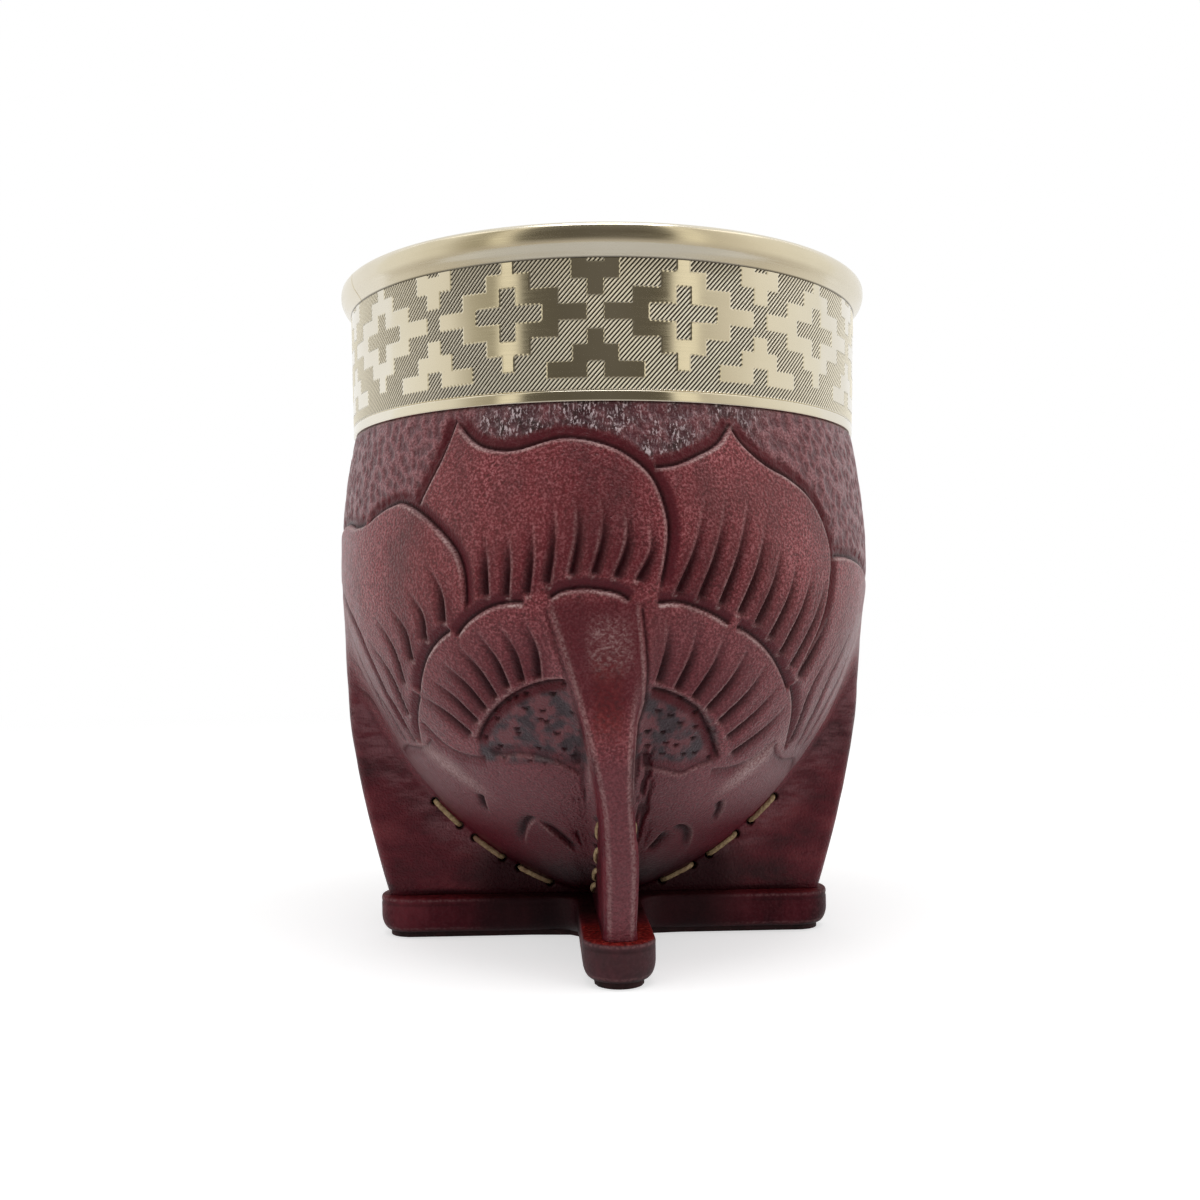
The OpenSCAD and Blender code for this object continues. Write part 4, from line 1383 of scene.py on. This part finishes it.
def calabash():
    neck_out = UNDER_BAND_R - SKIN
    neck_in = MOUTH_R + SHEET + GAP
    ledge = SLEEVE_Z0 - GAP
    shoulder = np.linspace(BELLY_Z, NECK_Z - 3.0, 8)[1:]
    outer = body_curve([*bowl_heights(GOURD_LOW), *shoulder], SKIN, SKIN)
    neck = [(neck_out, NECK_Z + 1.0), (neck_out, RIM_Z - 1.0), (neck_out - 1.0, RIM_Z),
            (neck_in + 1.0, RIM_Z), (neck_in, RIM_Z - 1.0), (neck_in, ledge)]
    cup = [*bowl_heights(CUP_LOW), *np.linspace(BELLY_Z, ledge, 24)[1:]]
    inner = body_curve(cup[::-1], SKIN + GOURD_WALL, FLOOR_RISE)
    profile = np.array(outer + neck + inner)
    theta = np.linspace(-180.0, 180.0, 240, endpoint=False)[None, :]
    rough = np.zeros((len(profile), 1))
    rough[len(outer) + len(neck) + 1:] = 1.0
    radius = profile[:, :1] + 0.0 * theta
    z = profile[:, 1:] + 0.0 * theta
    fibres = 0.22 * noise(theta * 0.9, z / 12.0, 81) + 0.12 * noise(theta * 2.0, z / 5.0, 82)
    pitted = 0.25 * ease(cells(theta / 4.0, z / 4.0, 83), 0.35, 0.05)
    radius = np.maximum(radius + rough * (fibres + pitted) * ease(radius, 0.0, 12.0), 0.0)
    grid = round_place(theta, radius, z)
    piece = skin_object("calabash", grid, (0, 0, GOURD_LOW), (0, 0, CUP_LOW), sharp=50.0)
    finish_piece(piece, gourd_material(), "gourd", "gourd_shell")


# Threads

THREAD_SIDES = 18
THREAD_PLIES = 3
THREAD_LAY = 3.6                  # length in which a ply goes once round
THREAD_FLAT = 0.75                # the thread is pulled a little flat against the leather
THREAD_LOOK_D = 0.85              # the part of it that shows; the rest is pulled into the leather


def twisted_tube(path, normal):
    """Points and faces of a twisted thread along a path that lies on a surface with this normal."""
    run = np.concatenate([[0.0], np.cumsum(np.linalg.norm(np.diff(path, axis=0), axis=1))])
    way = np.gradient(path, axis=0)
    way /= np.linalg.norm(way, axis=1, keepdims=True)
    side = np.cross(way, normal)
    side /= np.linalg.norm(side, axis=1, keepdims=True)
    up = np.cross(side, way)
    phase = 2 * np.pi * np.arange(THREAD_SIDES) / THREAD_SIDES
    turn = THREAD_PLIES * (phase[None, :] - 2 * np.pi * run[:, None] / THREAD_LAY)
    swell = THREAD_LOOK_D / 2 * (0.92 + 0.14 * np.abs(np.cos(turn / 2)))
    from_start = np.minimum(1.0, 0.25 + run / 0.4)
    to_end = np.minimum(1.0, 0.25 + (run[-1] - run) / 0.4)
    swell = swell * (from_start * to_end)[:, None]
    points = (path[:, None, :] + (swell * np.cos(phase))[..., None] * side[:, None, :]
              + THREAD_FLAT * (swell * np.sin(phase))[..., None] * up[:, None, :])
    i, j = grid_corners(len(path) - 1, THREAD_SIDES)
    quads = (i * THREAD_SIDES + j % THREAD_SIDES).reshape(-1, 4).tolist()
    ring = list(range(THREAD_SIDES))
    last = (len(path) - 1) * THREAD_SIDES
    return points.reshape(-1, 3), quads + [ring[::-1], [last + n for n in ring]]


def stitch_path(start, end, normal):
    """A bowed stitch from one hole to the other, dipping into both."""
    span = np.linalg.norm(end - start)
    way = (end - start) / span
    shape = [(-0.1, -1.4), (0.1, -0.5), (0.7, 0.0), (span * 0.3, 0.2 * BOW_H), (span * 0.5, 0.25 * BOW_H),
             (span * 0.7, 0.2 * BOW_H), (span - 0.7, 0.0), (span - 0.1, -0.5), (span + 0.1, -1.4)]
    return smooth_path([start + x * way + h * normal for x, h in shape], 0.16)


def thread_object(name, paths, material, node):
    points = []
    faces = []
    for path, normal in paths:
        tube, tube_faces = twisted_tube(path, normal)
        first = sum(len(p) for p in points)
        points.append(tube)
        faces += [[first + n for n in face] for face in tube_faces]
    piece = new_object(name, np.vstack(points), faces)
    finish_piece(piece, material, "thread", node)


def leg_threads(material):
    for leg, count in LEG_STITCHES.items():
        out, across = leg_axes(leg)
        paths = []
        for ends in stitch_ends(count):
            sides = [leg_side(*p) for p in (ends[0], ends.mean(axis=0), ends[1])]
            for sign in (-1.0, 1.0):
                start, end = [r * out + sign * (max(sides) + GAP) * across + np.array([0.0, 0.0, z])
                              for r, z in ends]
                normal = sign * across
                paths.append((stitch_path(start, end, normal), normal))
        thread_object("thread_" + leg, paths, material, "leg_thread_" + leg)


def back_thread(material):
    paths = []
    for z in back_places():
        middle, way, normal = back_frame(z)
        middle = middle - BACK_SINK * normal
        start = middle - way * BACK_SPAN / 2
        end = middle + way * BACK_SPAN / 2
        paths.append((stitch_path(start, end, normal), normal))
    thread_object("back_stitches", paths, material, "back_seam_thread")


# Stage, lights and camera, in metres except where a mesh is made

CAMERA_PLACE = Vector((-0.0125, -0.2139, 0.0516))
CAMERA_YAW = 0.0554               # radians to the right of +Y
CAMERA_UP = 0.0189
CAMERA_ROLL = -0.0063
LENS = 37.73
WHITE = (1.0, 1.0, 1.0, 1.0)


def make_camera():
    data = bpy.data.cameras.new("camera")
    data.lens = LENS
    data.sensor_width = 36.0
    data.clip_start = 0.01
    camera = bpy.data.objects.new("camera", data)
    level_share = np.cos(CAMERA_UP)
    ahead = Vector((np.sin(CAMERA_YAW) * level_share, np.cos(CAMERA_YAW) * level_share, np.sin(CAMERA_UP)))
    level = ahead.cross(Vector((0, 0, 1))).normalized()
    above = level.cross(ahead)
    right = level * np.cos(CAMERA_ROLL) + above * np.sin(CAMERA_ROLL)
    up = right.cross(ahead)
    camera.matrix_world = Matrix.Translation(CAMERA_PLACE) @ Matrix((right, up, -ahead)).transposed().to_4x4()
    bpy.context.scene.collection.objects.link(camera)
    bpy.context.scene.camera = camera


FLOOR_HALF = 6000.0               # millimetres
FLOOR_TONE = (0.8, 0.8, 0.8, 1.0)
FLOOR_GLOW = 0.54
MIRRORED_GLOW = 0.45
MIRRORED_FADE = (-0.1, 0.01)      # between these places, front to back, that glow sets in
FLOOR_FADE = (0.25, 0.6)          # distances from the axis between which the floor turns to plain white


def make_floor():
    """Pale floor that shows the object's shadow and goes white away from it."""
    corners = FLOOR_HALF * np.array([(-1, -1, 0), (1, -1, 0), (1, 1, 0), (-1, 1, 0)])
    floor = new_object("floor", corners, [(0, 1, 2, 3)])
    s = Shader("floor")
    s.surface(Base_Color=FLOOR_TONE, Roughness=0.9, Specular_IOR_Level=0.0)
    rays = s.node("ShaderNodeLightPath", {}).outputs
    to_camera = s.math("MULTIPLY", rays["Is Camera Ray"], FLOOR_GLOW)
    setting_in = s.span(s.along("Y"), *MIRRORED_FADE, 0.0, MIRRORED_GLOW)
    mirrored = s.math("MULTIPLY", rays["Is Glossy Ray"], setting_in)
    s.surface(Emission_Color=WHITE, Emission_Strength=s.math("ADD", to_camera, mirrored))
    distance = s.node("ShaderNodeVectorMath", {0: s.place}, operation="LENGTH").outputs["Value"]
    far = s.math("MULTIPLY", s.seen_directly(), s.span(distance, *FLOOR_FADE, 0.0, 1.0))
    white = s.node("ShaderNodeEmission", {"Color": WHITE, "Strength": 1.0}).outputs[0]
    s.show(s.mix_shaders(far, s.main.outputs[0], white))
    floor.data.materials.append(s.material)


CARD_TURN = 106.0                 # degrees that the card reaches to each side of the front
CARD_COLUMNS = 97
# Rows of the card in millimetres, from the floor up: radius, height, and the share of its own tones there
CARD_ROWS = [(150.0, 1.0, 0.0), (240.0, 4.0, 0.6), (360.0, 20.0, 1.0), (520.0, 60.0, 1.0),
             (620.0, 140.0, 1.0), (650.0, 300.0, 1.0), (650.0, 1300.0, 0.75)]
CARD_FOOT = (205, 197, 182)
# Angle round the card and the tone there: dark behind the camera, a bright strip on each side of that
CARD_TONES = [
    (-CARD_TURN, (250, 248, 240)), (-70.0, (244, 238, 222)), (-58.0, (190, 182, 160)),
    (-48.5, (168, 160, 138)), (-45.5, (255, 246, 220)), (-39.0, (255, 246, 220)), (-35.5, (104, 98, 84)),
    (-20.0, (98, 92, 80)), (0.0, (104, 98, 87)), (17.0, (98, 92, 79)), (24.0, (102, 95, 80)),
    (27.0, (255, 246, 220)), (35.5, (255, 246, 220)), (38.5, (208, 200, 180)), (52.0, (226, 218, 199)),
    (66.0, (244, 238, 222)), (CARD_TURN, (250, 248, 240)),
]


def card_share(turn):
    """Share of the way round the card at an angle."""
    return (turn / CARD_TURN + 1.0) / 2


def make_card():
    """A round card behind the camera, which only shiny surfaces reflect."""
    turns = np.linspace(-CARD_TURN, CARD_TURN, CARD_COLUMNS)
    radius, height, own = np.array(CARD_ROWS).T[..., None]
    grid = round_place(turns, radius + 0.0 * turns, height)
    i, j = grid_corners(len(CARD_ROWS) - 1, CARD_COLUMNS - 1)
    faces = (i * CARD_COLUMNS + j).reshape(-1, 4).tolist()
    values = {"turn": card_share(turns) + 0.0 * radius, "own": own + 0.0 * turns}
    card = new_object("card", grid.reshape(-1, 3), faces, values=values)
    card.visible_camera = False
    card.visible_diffuse = False
    card.visible_transmission = False
    card.visible_shadow = False
    s = Shader("card")
    tones = s.ramp(s.value("turn"), [(card_share(turn), tone) for turn, tone in CARD_TONES])
    tones = s.mix(s.value("own"), CARD_FOOT, tones)
    s.show(s.node("ShaderNodeEmission", {"Color": tones, "Strength": 1.0}).outputs[0])
    card.data.materials.append(s.material)


WORLD_LIGHT = 0.35


def make_world():
    """White where it is seen, with a weaker light on the object."""
    world = bpy.data.worlds.new("studio")
    world.use_nodes = True
    n = Nodes(world.node_tree)
    ambient = n.tree.nodes["Background"]
    n.put(ambient.inputs["Color"], WHITE)
    n.put(ambient.inputs["Strength"], WORLD_LIGHT)
    white = n.node("ShaderNodeBackground", {"Color": WHITE, "Strength": 1.0})
    mixed = n.mix_shaders(n.seen_directly(), ambient.outputs[0], white.outputs[0])
    n.put(n.tree.nodes["World Output"].inputs["Surface"], mixed)
    bpy.context.scene.world = world


LAMP_TARGET = Vector((0.0, 0.0, 0.06))
# Place, width and height, and power of each lamp
LAMPS = {
    "top_light": ((0.0, -0.18, 0.75), (0.4, 0.3), 1.4),
    "left_light": ((-0.75, -0.25, 0.4), (1.0, 1.2), 2.7),
    "right_light": ((0.75, -0.25, 0.4), (1.0, 1.2), 3.0),
}


def make_lamps():
    for name, (place, size, power) in LAMPS.items():
        data = bpy.data.lights.new(name, "AREA")
        data.shape = "RECTANGLE"
        data.size, data.size_y = size
        data.energy = power
        lamp = bpy.data.objects.new(name, data)
        lamp.location = place
        lamp.rotation_euler = (LAMP_TARGET - Vector(place)).to_track_quat("-Z", "Y").to_euler()
        bpy.context.scene.collection.objects.link(lamp)


def dress_pad():
    """The pad keeps its CAD shape and gets a material."""
    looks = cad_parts["sole_pad"].data.materials
    looks.clear()
    looks.append(pad_material())


make_camera()
make_world()
make_lamps()
make_floor()
make_card()
leather_sleeve()
cross_sole()
engraved_band()
polished_metal = lip_material()
rolled_lip(polished_metal)
mouth_sleeve(polished_metal)
calabash()
waxed_thread = thread_material()
leg_threads(waxed_thread)
back_thread(waxed_thread)
dress_pad()
bpy.context.scene.view_settings.view_transform = "Standard"
